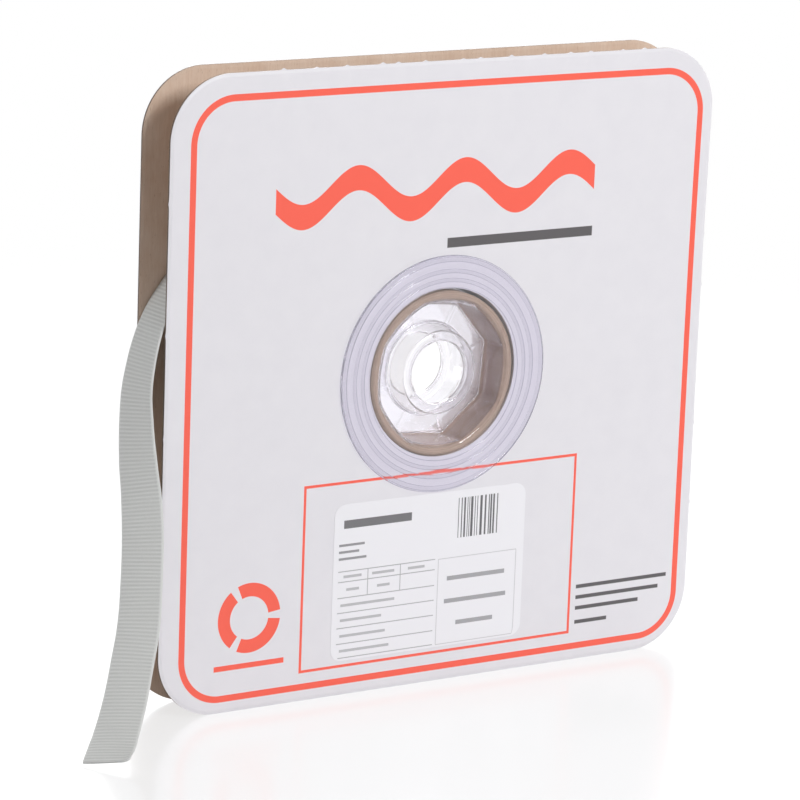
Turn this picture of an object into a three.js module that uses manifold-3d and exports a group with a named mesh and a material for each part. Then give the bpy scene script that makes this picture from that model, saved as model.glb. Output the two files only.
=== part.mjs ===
// Hook and loop tape roll: a reel with two square corrugated flanges, a cardboard core held by two
// clear moulded hubs, and a long strip of tape wound on the core, its free end hanging to the floor.
// Millimetres, +Z up. The origin is on the floor under the middle of the reel. The printed flange
// faces -Y, and the free end of the tape leaves the roll to -X.

import * as THREE from "three";
import { mergeVertices } from "three/addons/utils/BufferGeometryUtils.js";
import Module from "manifold-3d";

// Tape: one strip, hooks on one face and loops on the other, so the pile keeps the turns apart
const TAPE_WIDTH = 19;
const TAPE_THICKNESS = 0.9;
const TAPE_LENGTH = 22860;
const PILE_GAP = 0.45;
const TAPE_SIDE_PLAY = 0.55;

// Outer turns of the winding, over a plain pack that stands for the turns below
const OUTER_TURNS = 2;
const TURN_STEPS = 64;
const LEAVING_ANGLE = 109;

// Square flanges of single-wall corrugated board
const FLANGE_SIZE = 254;
const FLANGE_CORNER_RADIUS = 26;
const HOLE_ABOVE_MIDDLE = 1.5;
const LINER_THICKNESS = 0.25;
const FLUTE_HEIGHT = 1.04;
const FLUTE_PITCH = 3.2;
const FLUTE_PAPER = 0.22;

// Paper label on the printed flange, just below the hub's rim
const LABEL_WIDTH = 91.5;
const LABEL_HEIGHT = 64.5;
const LABEL_THICKNESS = 0.12;
const LABEL_CORNER_RADIUS = 5;
const LABEL_SIDE_OFFSET = -2.75;
const LABEL_BELOW_RIM = 0.8;

// Cardboard core tube
const CORE_OUTER_RADIUS = 33.5;
const CORE_WALL = 4.3;

// Clear hubs: a beaded rim over the flange, an octagonal cup in the core and a boss round the bore
const HUB_WALL = 1;
const HUB_RIM_OVERLAP = 13.9;
const HUB_BEAD_INSETS = [3.1, 7.3, 11.2];
const HUB_BEAD_HEIGHT = 0.6;
const HUB_BEAD_WIDTH = 2;
const HUB_CORNERS = 8;
const HUB_CORNER_TURN = 17.5;
const HUB_CORNER_BITE = 1.6;
const HUB_CUP_TAPER = 0.6;
const HUB_BEND = 0.8;
const SPINDLE_BORE_RADIUS = 12.7;
const BOSS_TOP_WIDTH = 4.5;
const BOSS_TAPER = 1.4;
const BOSS_TOP_DEPTH = 1.9;
const BOSS_LIP_LENGTH = 2.7;

// Clearances
const FACE_GAP = 0.03;
const FIT_GAP = 0.3;
const HOLE_CLEARANCE = 0.9;
const RIM_CLEARANCE = 0.15;

// Smoothness of the round pieces, in steps to a full turn
const HOLE_STEPS = 48;
const CORE_STEPS = 80;
const HUB_STEPS = 40;
const CORNER_STEPS = 8;

// Route of the tape's free end after it leaves the roll: the middle of the strip in millimetres from
// the origin, and the strip's twist in degrees
const TAIL_ROUTE = [
  [-46, 0, 222, 0],
  [-57, 0, 217.3, 0],
  [-79, 0, 206.3, 0],
  [-99, 0, 191.9, 0],
  [-115, 0, 174.8, 0.5],
  [-126.8, 0, 158, 1.5],
  [-133.5, -0.9, 134, -6.5],
  [-135, -3.2, 119, -13.8],
  [-135.5, -6.3, 104, -21],
  [-135.8, -10.2, 90, -25.5],
  [-137.4, -14.7, 75, -26.7],
  [-140, -19, 59.5, -26],
  [-143.6, -24, 45, -26.3],
  [-149, -29.1, 31.3, -25.3],
  [-155.3, -35.4, 19.3, -23.6],
  [-163.2, -43.2, 9.5, -20.6],
  [-172.2, -52.6, 2.5, -15.7],
];
const TAIL_STEPS = 48;

// Sizes worked out from the ones above
const boardThickness = FLUTE_HEIGHT + 2 * (LINER_THICKNESS + FACE_GAP);
const flangeSpacing = TAPE_WIDTH + 2 * TAPE_SIDE_PLAY;
const reelHalfDepth = flangeSpacing / 2 + boardThickness;
const coreHalfLength = reelHalfDepth + FACE_GAP + LABEL_THICKNESS + RIM_CLEARANCE;
const coreBoreRadius = CORE_OUTER_RADIUS - CORE_WALL;
const flangeHoleRadius = CORE_OUTER_RADIUS + HOLE_CLEARANCE;
const flangeCentreHeight = FLANGE_SIZE / 2;
const holeHeight = flangeCentreHeight + HOLE_ABOVE_MIDDLE;
const rollAxisHeight = holeHeight - (HOLE_CLEARANCE - FIT_GAP);
const turnPitch = TAPE_THICKNESS + PILE_GAP;
const rollRadius = Math.sqrt((TAPE_LENGTH * turnPitch) / Math.PI + CORE_OUTER_RADIUS ** 2);
const leavingRadius = rollRadius - TAPE_THICKNESS / 2;
const leavingAngle = THREE.MathUtils.degToRad(LEAVING_ANGLE);
const packRadius = leavingRadius - OUTER_TURNS * turnPitch - TAPE_THICKNESS / 2 - PILE_GAP;
const cupCornerRadius = coreBoreRadius + HUB_CORNER_BITE;
const cornerTurn = THREE.MathUtils.degToRad(HUB_CORNER_TURN);
const hubRadius = flangeHoleRadius + HUB_RIM_OVERLAP;

// Materials
const finish = (color, roughness) => new THREE.MeshStandardMaterial({ color, roughness, metalness: 0 });
const whiteBoard = finish(0xe4e2e6, 0.45);
const kraftBoard = finish(0xc4a58c, 0.85);
const labelPaper = finish(0xecebef, 0.5);
const coreBoard = finish(0xb08d6c, 0.9);
const greyTape = finish(0xb9b9bb, 0.95);
const clearPlastic = new THREE.MeshStandardMaterial({
  color: 0xdcdaea,
  roughness: 0.12,
  metalness: 0,
  transparent: true,
  opacity: 0.35,
});

const wasm = await Module();
wasm.setup();

// A closed geometry as a solid that can be joined and cut.
function toSolid(geometry) {
  const bare = geometry.clone();
  bare.deleteAttribute("normal");
  bare.deleteAttribute("uv");
  const merged = mergeVertices(bare, 1e-4);
  const vertProperties = new Float32Array(merged.attributes.position.array);
  const triVerts = new Uint32Array(merged.index.array);
  return new wasm.Manifold(new wasm.Mesh({ numProp: 3, vertProperties, triVerts }));
}

// A solid's surface as a geometry.
function toGeometry(solid) {
  const { vertProperties, triVerts } = solid.getMesh();
  const geometry = new THREE.BufferGeometry();
  geometry.setAttribute("position", new THREE.BufferAttribute(vertProperties, 3));
  geometry.setIndex(new THREE.BufferAttribute(triVerts, 1));
  geometry.computeVertexNormals();
  return geometry;
}

// A rectangle with round corners, centred on the origin.
function roundedRectangle(width, height, radius) {
  const right = width / 2 - radius;
  const top = height / 2 - radius;
  const shape = new THREE.Shape();
  shape.absarc(right, top, radius, 0, Math.PI / 2);
  shape.absarc(-right, top, radius, Math.PI / 2, Math.PI);
  shape.absarc(-right, -top, radius, Math.PI, 1.5 * Math.PI);
  shape.absarc(right, -top, radius, 1.5 * Math.PI, 2 * Math.PI);
  shape.closePath();
  return shape;
}

// A flat piece cut to a shape that is drawn as seen from the front, from y = 0 back to y = thickness.
function plate(shape, thickness, steps) {
  const geometry = new THREE.ExtrudeGeometry(shape, {
    depth: thickness,
    bevelEnabled: false,
    curveSegments: steps,
  });
  return geometry.rotateX(Math.PI / 2).translate(0, thickness, 0);
}

// The flange's outline with its round hole. An arc is drawn with twice the divisions asked for.
function flangeShape() {
  const outline = roundedRectangle(FLANGE_SIZE, FLANGE_SIZE, FLANGE_CORNER_RADIUS);
  const shape = new THREE.Shape(outline.getPoints(CORNER_STEPS / 2));
  const hole = new THREE.Path().absarc(0, HOLE_ABOVE_MIDDLE, flangeHoleRadius, 0, 2 * Math.PI, true);
  shape.holes.push(new THREE.Path(hole.getPoints(HOLE_STEPS / 2)));
  return shape;
}

// One flat liner of the corrugated board.
function linerGeometry() {
  return plate(flangeShape(), LINER_THICKNESS, 1);
}

// The corrugated middle of the board: a folded wave of paper with upright flutes, cut to the flange's
// outline. Each flute has one low fold and one high fold, half a pitch apart.
function flutingGeometry() {
  const waves = Math.ceil(FLANGE_SIZE / FLUTE_PITCH / 2) + 1;
  const fullHeight = FLANGE_SIZE + FLUTE_PITCH;
  const folds = [];
  for (let wave = -waves; wave < waves; wave += 1) {
    folds.push([wave * FLUTE_PITCH, 0]);
    folds.push([(wave + 0.5) * FLUTE_PITCH, FLUTE_HEIGHT - FLUTE_PAPER]);
  }
  const face = (offset) => folds.map(([x, y]) => new THREE.Vector2(x, y + offset));
  const section = new THREE.Shape([...face(0), ...face(FLUTE_PAPER).reverse()]);
  const sheet = new THREE.ExtrudeGeometry(section, { depth: fullHeight, bevelEnabled: false });
  sheet.translate(0, 0, -fullHeight / 2);
  const cutter = plate(flangeShape(), 2 * FLUTE_HEIGHT, 1).translate(0, -FLUTE_HEIGHT / 2, 0);
  return toGeometry(toSolid(sheet).intersect(toSolid(cutter)));
}

// A skin over rings of points with the same count. It closes on itself along the rings, or is capped
// at both ends. The triangles are turned round if the volume comes out negative.
function loft(rings, capped) {
  const count = rings[0].length;
  const position = rings.flat().flatMap((point) => point.toArray());
  const index = [];
  const spans = capped ? rings.length - 1 : rings.length;
  for (let ring = 0; ring < spans; ring += 1) {
    const here = ring * count;
    const next = ((ring + 1) % rings.length) * count;
    for (let i = 0; i < count; i += 1) {
      const j = (i + 1) % count;
      index.push(here + i, here + j, next + j, here + i, next + j, next + i);
    }
  }
  if (capped) {
    const last = (rings.length - 1) * count;
    for (let i = 1; i < count - 1; i += 1) {
      index.push(0, i + 1, i, last, last + i, last + i + 1);
    }
  }
  const geometry = new THREE.BufferGeometry();
  geometry.setAttribute("position", new THREE.Float32BufferAttribute(position, 3));
  geometry.setIndex(signedVolume(position, index) < 0 ? index.reverse() : index);
  geometry.computeVertexNormals();
  return geometry;
}

// Six times the volume inside a closed skin, negative if its faces point inwards.
function signedVolume(position, index) {
  const corner = (i) => new THREE.Vector3().fromArray(position, 3 * index[i]);
  let sum = 0;
  for (let i = 0; i < index.length; i += 3) {
    sum += corner(i).dot(corner(i + 1).cross(corner(i + 2)));
  }
  return sum;
}

// A point at an angle round the roll's axis, from +X towards +Z.
function turnedPoint(radius, angle, depth) {
  return new THREE.Vector3(radius * Math.cos(angle), depth, radius * Math.sin(angle));
}

// Radius at an angle of a regular polygon with the hub's number of corners.
function polygonRadius(cornerRadius, angle) {
  const side = (2 * Math.PI) / HUB_CORNERS;
  const fromCorner = THREE.MathUtils.euclideanModulo(angle - cornerTurn, side);
  return (cornerRadius * Math.cos(side / 2)) / Math.cos(fromCorner - side / 2);
}

// A ring of points round the axis, with radiusAt giving the radius at each angle.
function ringOfPoints(steps, depth, radiusAt) {
  return Array.from({ length: steps }, (_, i) => {
    const angle = cornerTurn + (2 * Math.PI * i) / steps;
    return turnedPoint(radiusAt(angle), angle, depth);
  });
}

// The core tube, with a notch in its bore for each corner of the hubs' cups.
function coreGeometry() {
  const notchRadius = cupCornerRadius + FIT_GAP;
  const outside = () => CORE_OUTER_RADIUS;
  const bore = (angle) => Math.max(coreBoreRadius, polygonRadius(notchRadius, angle));
  const rings = [
    ringOfPoints(CORE_STEPS, -coreHalfLength, outside),
    ringOfPoints(CORE_STEPS, coreHalfLength, outside),
    ringOfPoints(CORE_STEPS, coreHalfLength, bore),
    ringOfPoints(CORE_STEPS, -coreHalfLength, bore),
  ];
  return loft(rings, false);
}

// One moulded hub. The profile goes in over the shown face from the rim to the bore's lip, and back
// out behind it. Depths are measured inwards from the end of the core, and side is -1 at the front.
function hubGeometry(side) {
  const floorUnder = coreHalfLength - FIT_GAP / 2;
  const floorTop = floorUnder - HUB_WALL;
  const cornerWall = HUB_WALL / Math.cos(Math.PI / HUB_CORNERS);
  const cupInside = cupCornerRadius - cornerWall;
  const bossTop = SPINDLE_BORE_RADIUS + BOSS_TOP_WIDTH;
  const bossFoot = bossTop + BOSS_TAPER;
  const lipEnd = BOSS_TOP_DEPTH + BOSS_LIP_LENGTH;
  const seat = -FACE_GAP;
  const face = seat - HUB_WALL;
  const bend = HUB_BEND;
  const rings = [];
  const addRing = (depth, radiusAt) => {
    rings.push(ringOfPoints(HUB_STEPS, side * (coreHalfLength - depth), radiusAt));
  };
  const round = (radius, depth) => addRing(depth, () => radius);
  const angular = (cornerRadius, depth) => addRing(depth, (angle) => polygonRadius(cornerRadius, angle));

  // Rim and its raised beads
  round(hubRadius, face);
  for (const inset of HUB_BEAD_INSETS) {
    round(hubRadius - inset + HUB_BEAD_WIDTH / 2, face);
    round(hubRadius - inset, face - HUB_BEAD_HEIGHT);
    round(hubRadius - inset - HUB_BEAD_WIDTH / 2, face);
  }
  // Inside of the cup and its floor
  angular(cupInside + bend, face);
  angular(cupInside + bend / 4, face + bend / 2);
  angular(cupInside, face + 2 * bend);
  angular(cupInside - HUB_CUP_TAPER, floorTop - bend);
  angular(cupInside - HUB_CUP_TAPER - bend, floorTop);
  // Boss, its top and the lip turned down into the bore
  round(bossFoot + bend, floorTop);
  round(bossFoot, floorTop - bend);
  round(bossTop, BOSS_TOP_DEPTH + bend);
  round(bossTop - bend, BOSS_TOP_DEPTH);
  round(SPINDLE_BORE_RADIUS + bend, BOSS_TOP_DEPTH);
  round(SPINDLE_BORE_RADIUS, BOSS_TOP_DEPTH + bend);
  round(SPINDLE_BORE_RADIUS, lipEnd);
  // Behind: the lip, the hollow of the boss, the floor, the cup and the seat on the core
  round(SPINDLE_BORE_RADIUS + HUB_WALL, lipEnd);
  round(SPINDLE_BORE_RADIUS + HUB_WALL, BOSS_TOP_DEPTH + HUB_WALL);
  round(bossTop - HUB_WALL, BOSS_TOP_DEPTH + HUB_WALL);
  round(bossFoot - HUB_WALL, floorUnder);
  angular(cupCornerRadius - HUB_CUP_TAPER - bend, floorUnder);
  angular(cupCornerRadius - HUB_CUP_TAPER, floorUnder - bend);
  angular(cupCornerRadius, seat);
  round(hubRadius, seat);
  return loft(rings, false);
}

// The plain pack of turns between the core and the outer turns.
function packGeometry() {
  const inner = CORE_OUTER_RADIUS + FIT_GAP;
  const half = TAPE_WIDTH / 2;
  const profile = [
    new THREE.Vector2(inner, -half),
    new THREE.Vector2(packRadius, -half),
    new THREE.Vector2(packRadius, half),
    new THREE.Vector2(inner, half),
    new THREE.Vector2(inner, -half),
  ];
  return new THREE.LatheGeometry(profile, TURN_STEPS);
}

// A flat strip through stations that each have a middle, a direction across and one through the strip.
function stripGeometry(stations) {
  const corners = [
    [-1, -1],
    [1, -1],
    [1, 1],
    [-1, 1],
  ];
  const rings = stations.map(({ middle, across, through }) =>
    corners.map(([side, face]) =>
      middle
        .clone()
        .addScaledVector(across, (side * TAPE_WIDTH) / 2)
        .addScaledVector(through, (face * TAPE_THICKNESS) / 2),
    ),
  );
  return loft(rings, true);
}

// Stations of the outer turns: a spiral that gains one pitch a turn and ends where the tape leaves.
function woundStations() {
  const across = new THREE.Vector3(0, 1, 0);
  return Array.from({ length: OUTER_TURNS * TURN_STEPS + 1 }, (_, i) => {
    const turnsLeft = OUTER_TURNS - i / TURN_STEPS;
    const angle = leavingAngle - 2 * Math.PI * turnsLeft;
    const middle = turnedPoint(leavingRadius - turnsLeft * turnPitch, angle, 0);
    return { middle, across, through: turnedPoint(1, angle, 0) };
  });
}

// Least gap between the strip's turns, measured on the middle points a turn or more apart.
function leastGap(stations) {
  let least = Infinity;
  for (let i = 0; i < stations.length; i += 1) {
    for (let j = i + TURN_STEPS / 2; j < stations.length; j += 1) {
      least = Math.min(least, stations[i].middle.distanceTo(stations[j].middle));
    }
  }
  return least - TAPE_THICKNESS;
}

// Stations of the free end: a smooth curve through the route's points, twisted as the route says.
function tailStations() {
  const along = turnedPoint(1, leavingAngle + Math.PI / 2, 0);
  const root = turnedPoint(leavingRadius, leavingAngle, 0).addScaledVector(along, FIT_GAP);
  root.z += rollAxisHeight;
  const points = [root, ...TAIL_ROUTE.map(([x, y, z]) => new THREE.Vector3(x, y, z))];
  const twists = [0, ...TAIL_ROUTE.map((stop) => THREE.MathUtils.degToRad(stop[3]))];
  const curve = new THREE.CatmullRomCurve3(points, false, "centripetal");
  return Array.from({ length: TAIL_STEPS + 1 }, (_, i) => {
    const t = i / TAIL_STEPS;
    const tangent = i === 0 ? along : curve.getTangent(t);
    const level = new THREE.Vector3(0, 1, 0).projectOnPlane(tangent).normalize();
    const across = level.applyAxisAngle(tangent, twistAt(twists, t));
    const through = new THREE.Vector3().crossVectors(tangent, across);
    return { middle: curve.getPoint(t), across, through };
  });
}

// Twist at a share of the way along the route, in even steps between the points of the route.
function twistAt(twists, t) {
  const place = t * (twists.length - 1);
  const stop = Math.min(Math.floor(place), twists.length - 2);
  return THREE.MathUtils.lerp(twists[stop], twists[stop + 1], place - stop);
}

// One flange, from the face that is seen outside to the kraft face that guides the tape.
function flange(name, side) {
  const group = new THREE.Group();
  const layers = [
    ["outer_liner", linerGeometry(), LINER_THICKNESS, whiteBoard],
    ["fluting", flutingGeometry(), FLUTE_HEIGHT, kraftBoard],
    ["inner_liner", linerGeometry(), LINER_THICKNESS, kraftBoard],
  ];
  let outside = reelHalfDepth;
  for (const [layer, geometry, thickness, material] of layers) {
    const mesh = new THREE.Mesh(geometry, material);
    mesh.name = `${name}_${layer}`;
    mesh.position.y = side < 0 ? -outside : outside - thickness;
    outside -= thickness + FACE_GAP;
    group.add(mesh);
  }
  group.position.z = flangeCentreHeight;
  return group;
}

// The paper label on the front flange.
function label() {
  const shape = roundedRectangle(LABEL_WIDTH, LABEL_HEIGHT, LABEL_CORNER_RADIUS);
  const mesh = new THREE.Mesh(plate(shape, LABEL_THICKNESS, CORNER_STEPS / 2), labelPaper);
  mesh.name = "product_label";
  mesh.position.set(
    LABEL_SIDE_OFFSET,
    -reelHalfDepth - FACE_GAP - LABEL_THICKNESS,
    rollAxisHeight - hubRadius - LABEL_BELOW_RIM - LABEL_HEIGHT / 2,
  );
  return mesh;
}

// The part that turns: core, hubs and wound tape.
function roll() {
  const group = new THREE.Group();
  const outerTurns = woundStations();
  console.log(`outer turns: least gap to themselves ${leastGap(outerTurns).toFixed(2)} mm`);
  const pieces = [
    ["core_tube", coreGeometry(), coreBoard],
    ["hub_front", hubGeometry(-1), clearPlastic],
    ["hub_rear", hubGeometry(1), clearPlastic],
    ["tape_pack", packGeometry(), greyTape],
    ["tape_outer_turns", stripGeometry(outerTurns), greyTape],
  ];
  for (const [name, geometry, material] of pieces) {
    const mesh = new THREE.Mesh(geometry, material);
    mesh.name = name;
    group.add(mesh);
  }
  group.position.z = rollAxisHeight;
  return group;
}

// The tape's free end.
function tail() {
  const mesh = new THREE.Mesh(stripGeometry(tailStations()), greyTape);
  mesh.name = "tape_tail";
  return mesh;
}

const reel = new THREE.Group();
reel.add(flange("front", -1), label(), flange("rear", 1), roll(), tail());

export default reel;
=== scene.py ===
"""Looks of a reel of hook and loop tape: two square printed flanges, a core, two clear hubs and the tape.

Sizes are in millimetres, as a maker would give them, and put_mesh turns them into metres. Each class
holds one sub-assembly of the reel or one finish, and main builds them in order.
"""
import logging
import math
from collections.abc import Callable
from dataclasses import dataclass
from enum import Enum
from functools import partial

import bpy
import numpy as np
from mathutils import Matrix, Vector


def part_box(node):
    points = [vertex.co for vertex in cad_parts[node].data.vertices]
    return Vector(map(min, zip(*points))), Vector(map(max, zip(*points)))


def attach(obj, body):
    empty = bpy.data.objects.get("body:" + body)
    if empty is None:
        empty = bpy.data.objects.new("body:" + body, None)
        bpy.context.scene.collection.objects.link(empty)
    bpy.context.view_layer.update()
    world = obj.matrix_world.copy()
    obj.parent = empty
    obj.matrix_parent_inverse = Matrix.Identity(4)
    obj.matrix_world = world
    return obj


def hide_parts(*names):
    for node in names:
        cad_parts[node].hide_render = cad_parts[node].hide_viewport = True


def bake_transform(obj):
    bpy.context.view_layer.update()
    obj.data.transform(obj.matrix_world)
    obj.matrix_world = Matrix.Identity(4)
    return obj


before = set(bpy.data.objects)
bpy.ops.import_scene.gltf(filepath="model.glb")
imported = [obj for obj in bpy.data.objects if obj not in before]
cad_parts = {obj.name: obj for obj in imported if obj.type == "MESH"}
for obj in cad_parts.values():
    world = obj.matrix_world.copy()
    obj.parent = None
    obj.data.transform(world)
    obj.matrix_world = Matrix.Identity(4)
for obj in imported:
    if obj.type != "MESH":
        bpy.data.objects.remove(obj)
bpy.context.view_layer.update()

MM = 0.001
TURN = 2 * math.pi
WHITE = (1.0, 1.0, 1.0, 1.0)
# Spacing of the board's flutes, which also show faintly through its liners
FLUTE_PITCH = 3.2
# Length of one band of a wave texture at a scale of 1
WAVE_PERIOD = 0.314
# Settings of a node that mixes two colours: its third output is the mixed colour
COLOUR_MIX = {"out": 2, "data_type": "RGBA"}

Array = np.ndarray
Socket = bpy.types.NodeSocket
Sockets = bpy.types.bpy_prop_collection
Tree = bpy.types.NodeTree
Colour = tuple[float, float, float, float]
Add = Callable[..., Socket]

log = logging.getLogger("reel")


class Side(Enum):
    """Which side of the reel a piece is on, with the sign of its Y."""

    FRONT = -1
    REAR = 1

    @property
    def word(self) -> str:
        """The side's name, as the nodes have it."""
        return self.name.lower()


class Liner(Enum):
    """The two liners of a flange's board, as the nodes have them."""

    OUTER = "outer_liner"
    INNER = "inner_liner"


class Domain(Enum):
    """What an attribute has its numbers for."""

    POINT = "POINT"
    FACE = "FACE"


class Body(Enum):
    """The bodies of the frame that the pieces ride on."""

    FRONT_FLANGE = "front_flange"
    REAR_FLANGE = "rear_flange"
    ROLL = "roll"
    FREE_END = "free_end"


class Slot(Enum):
    """The record's material slots."""

    PRINTED_BOARD = "printed_white_board"
    KRAFT = "kraft_board"
    LABEL = "label_paper"
    CORE = "core_board"
    CLEAR = "clear_plastic"
    TAPE = "grey_tape"


def linear(colour: str) -> Colour:
    """Turns an sRGB hex colour into linear light.

    Args:
        colour: The colour as "#rrggbb".

    Returns:
        Linear red, green and blue, and an alpha of 1.
    """
    srgb = np.array([int(colour[i:i + 2], 16) for i in (1, 3, 5)]) / 255
    light = np.where(srgb <= 0.04045, srgb / 12.92, ((srgb + 0.055) / 1.055) ** 2.4)
    return (*light.tolist(), 1.0)


def add_node(
    tree: Tree, kind: str, inputs: dict | None = None, out: int | str | None = 0, **settings: object
) -> Socket | Sockets:
    """Adds one shader node with its settings, values and links.

    Args:
        tree: The node tree to add to.
        kind: The node's type, without its ShaderNode prefix.
        inputs: For each input socket, a value or the output socket that feeds it.
        out: The output socket to give back, or None for all of them.
        settings: The node's own properties.

    Returns:
        The chosen output socket, or all of them, also where there are none.
    """
    node = tree.nodes.new(f"ShaderNode{kind}")
    for name, value in settings.items():
        setattr(node, name, value)
    for key, value in (inputs or {}).items():
        if isinstance(value, bpy.types.NodeSocket):
            tree.links.new(value, node.inputs[key])
        else:
            node.inputs[key].default_value = value
    if out is None or len(node.outputs) == 0:
        return node.outputs
    return node.outputs[out]


def fresh_nodes(owner: bpy.types.Material | bpy.types.World) -> Add:
    """Empties the nodes of a material or a world.

    Args:
        owner: The material or the world.

    Returns:
        The function that adds a node to it.
    """
    owner.use_nodes = True
    owner.node_tree.nodes.clear()
    return partial(add_node, owner.node_tree)


def seen(add: Add) -> Socket:
    """1 for what is seen straight, in gloss or through glass, and 0 for what only gives light.

    Args:
        add: The function that adds a node.

    Returns:
        The share, 0 or 1.
    """
    path = add("LightPath", out=None)
    share = path["Is Camera Ray"]
    for name in ("Is Glossy Ray", "Is Transmission Ray"):
        share = add("Math", {0: share, 1: path[name]}, operation="MAXIMUM")
    return share


def flutes(add: Add, place: Socket) -> Socket:
    """The board's flutes as they show through a liner: soft bands across X."""
    scale = WAVE_PERIOD / (FLUTE_PITCH * MM)
    return add("TexWave", {"Vector": place, "Scale": scale}, out="Fac", bands_direction="X")


@dataclass(frozen=True)
class Finish:
    """A surface of one real material: its name, and the nodes that each kind of finish adds in shade."""

    name: str

    def shade(self, add: Add) -> Socket:
        """Adds the nodes of the finish.

        Args:
            add: The function that adds a node to the material.

        Returns:
            The shader of the surface.
        """
        raise NotImplementedError

    def material(self) -> bpy.types.Material:
        """Makes the material, with its shader on the surface.

        Returns:
            The material.
        """
        material = bpy.data.materials.new(self.name)
        add = fresh_nodes(material)
        add("OutputMaterial", {"Surface": self.shade(add)})
        return material


def node_box(node: str) -> tuple[Array, Array]:
    """Lowest and highest corner of a CAD node, in millimetres."""
    low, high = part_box(node)
    return np.array(low) / MM, np.array(high) / MM


def node_middle(node: str) -> tuple[Array, Array]:
    """Middle and half size of a CAD node, in millimetres."""
    low, high = node_box(node)
    return (low + high) / 2, (high - low) / 2


def roll_middle() -> Array:
    """Middle of the core, on the axis that the roll turns about, in millimetres."""
    return node_middle("core_tube")[0]


def distance_along(points: Array) -> Array:
    """Distance from the first point to each point, along the line through all of them."""
    return np.concatenate([[0], np.cumsum(np.linalg.norm(np.diff(points, axis=0), axis=1))])


def grid_quads(rows: int, columns: int, wrap_rows: bool = False, wrap_columns: bool = False) -> Array:
    """Faces of a grid of points that are numbered row by row.

    Args:
        rows: Number of rows of points.
        columns: Number of points in a row.
        wrap_rows: Whether the last row joins the first.
        wrap_columns: Whether the end of a row joins its start.

    Returns:
        Four point numbers for each face, in the order of the rows.
    """
    row = np.arange(rows if wrap_rows else rows - 1)
    column = np.arange(columns if wrap_columns else columns - 1)
    row, column = np.meshgrid(row, column, indexing="ij")
    next_row = (row + 1) % rows * columns
    next_column = (column + 1) % columns
    row = row * columns
    corners = [row + column, row + next_column, next_row + next_column, next_row + column]
    return np.stack(corners, axis=-1).reshape(-1, 4)


def cap_quads(start: int, count: int) -> Array:
    """Faces that close a ring of points whose second half runs back opposite its first.

    Args:
        start: Number of the ring's first point.
        count: Number of points in the ring, an even number.

    Returns:
        Four point numbers for each face.
    """
    first = np.arange(count // 2 - 1)
    corners = [first, first + 1, count - 2 - first, count - 1 - first]
    return start + np.stack(corners, axis=-1)


def closed_quads(stations: int, ring: int) -> Array:
    """Faces of a line of rings of points, closed at both ends.

    Args:
        stations: Number of rings.
        ring: Number of points in a ring, an even number.

    Returns:
        Four point numbers for each face.
    """
    sides = grid_quads(stations, ring, wrap_columns=True)
    start = cap_quads(0, ring)[:, ::-1]
    end = cap_quads((stations - 1) * ring, ring)
    return np.concatenate([sides, start, end])


def put_mesh(name: str, points: Array, quads: Array, sharp_angle: float = 40.0) -> bpy.types.Object:
    """Makes an object from points in millimetres and closed faces, turned so that they point outwards.

    The sign of the enclosed volume, the sum of the triple products of the faces' corners, tells
    whether the faces have to be turned round.

    Args:
        name: The piece's name.
        points: Points in millimetres, in any grid shape with three numbers last.
        quads: Four point numbers for each face.
        sharp_angle: Angle in degrees above which an edge is drawn sharp.

    Returns:
        The new object, at the origin.
    """
    flat = points.reshape(-1, 3) * MM
    a, b, c, d = (flat[quads[:, i]] for i in range(4))
    volume = np.sum(a * np.cross(b, c)) + np.sum(a * np.cross(c, d))
    if volume < 0:
        quads = quads[:, ::-1]
    mesh = bpy.data.meshes.new(name)
    mesh.from_pydata(flat.tolist(), [], quads.tolist())
    mesh.polygons.foreach_set("use_smooth", np.ones(len(quads), dtype=bool))
    mesh.set_sharp_from_angle(angle=math.radians(sharp_angle))
    mesh.update()
    piece = bpy.data.objects.new(name, mesh)
    bpy.context.scene.collection.objects.link(piece)
    return piece


def put_attribute(piece: bpy.types.Object, name: str, values: Array, domain: Domain) -> None:
    """Writes a number, or three numbers, for each point or face of a piece.

    Args:
        piece: The piece to write to.
        name: The attribute's name, which its material reads.
        values: One row for each point or face.
        domain: Whether the rows are for the points or for the faces.
    """
    if values.ndim == 1:
        attribute = piece.data.attributes.new(name, "FLOAT", domain.value)
        attribute.data.foreach_set("value", values.astype(np.float32))
    else:
        attribute = piece.data.attributes.new(name, "FLOAT_VECTOR", domain.value)
        attribute.data.foreach_set("vector", values.astype(np.float32).ravel())


def dress(piece: bpy.types.Object, material: bpy.types.Material, body: Body, node: str) -> None:
    """Gives a piece its material and its body, and hides the CAD node that it stands for.

    Args:
        piece: The finished piece.
        material: Its material.
        body: The body that it rides on.
        node: The CAD node that it replaces.
    """
    piece.data.materials.append(material)
    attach(piece, body.value)
    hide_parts(node)
    log.info("%s: %d faces, on %s", piece.name, len(piece.data.polygons), body.value)


def ramp(values: Array, start: float, end: float) -> Array:
    """Smooth step from 0 at start to 1 at end: 3t squared less 2t cubed."""
    share = np.clip((values - start) / (end - start), 0, 1)
    return share * share * (3 - 2 * share)


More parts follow.
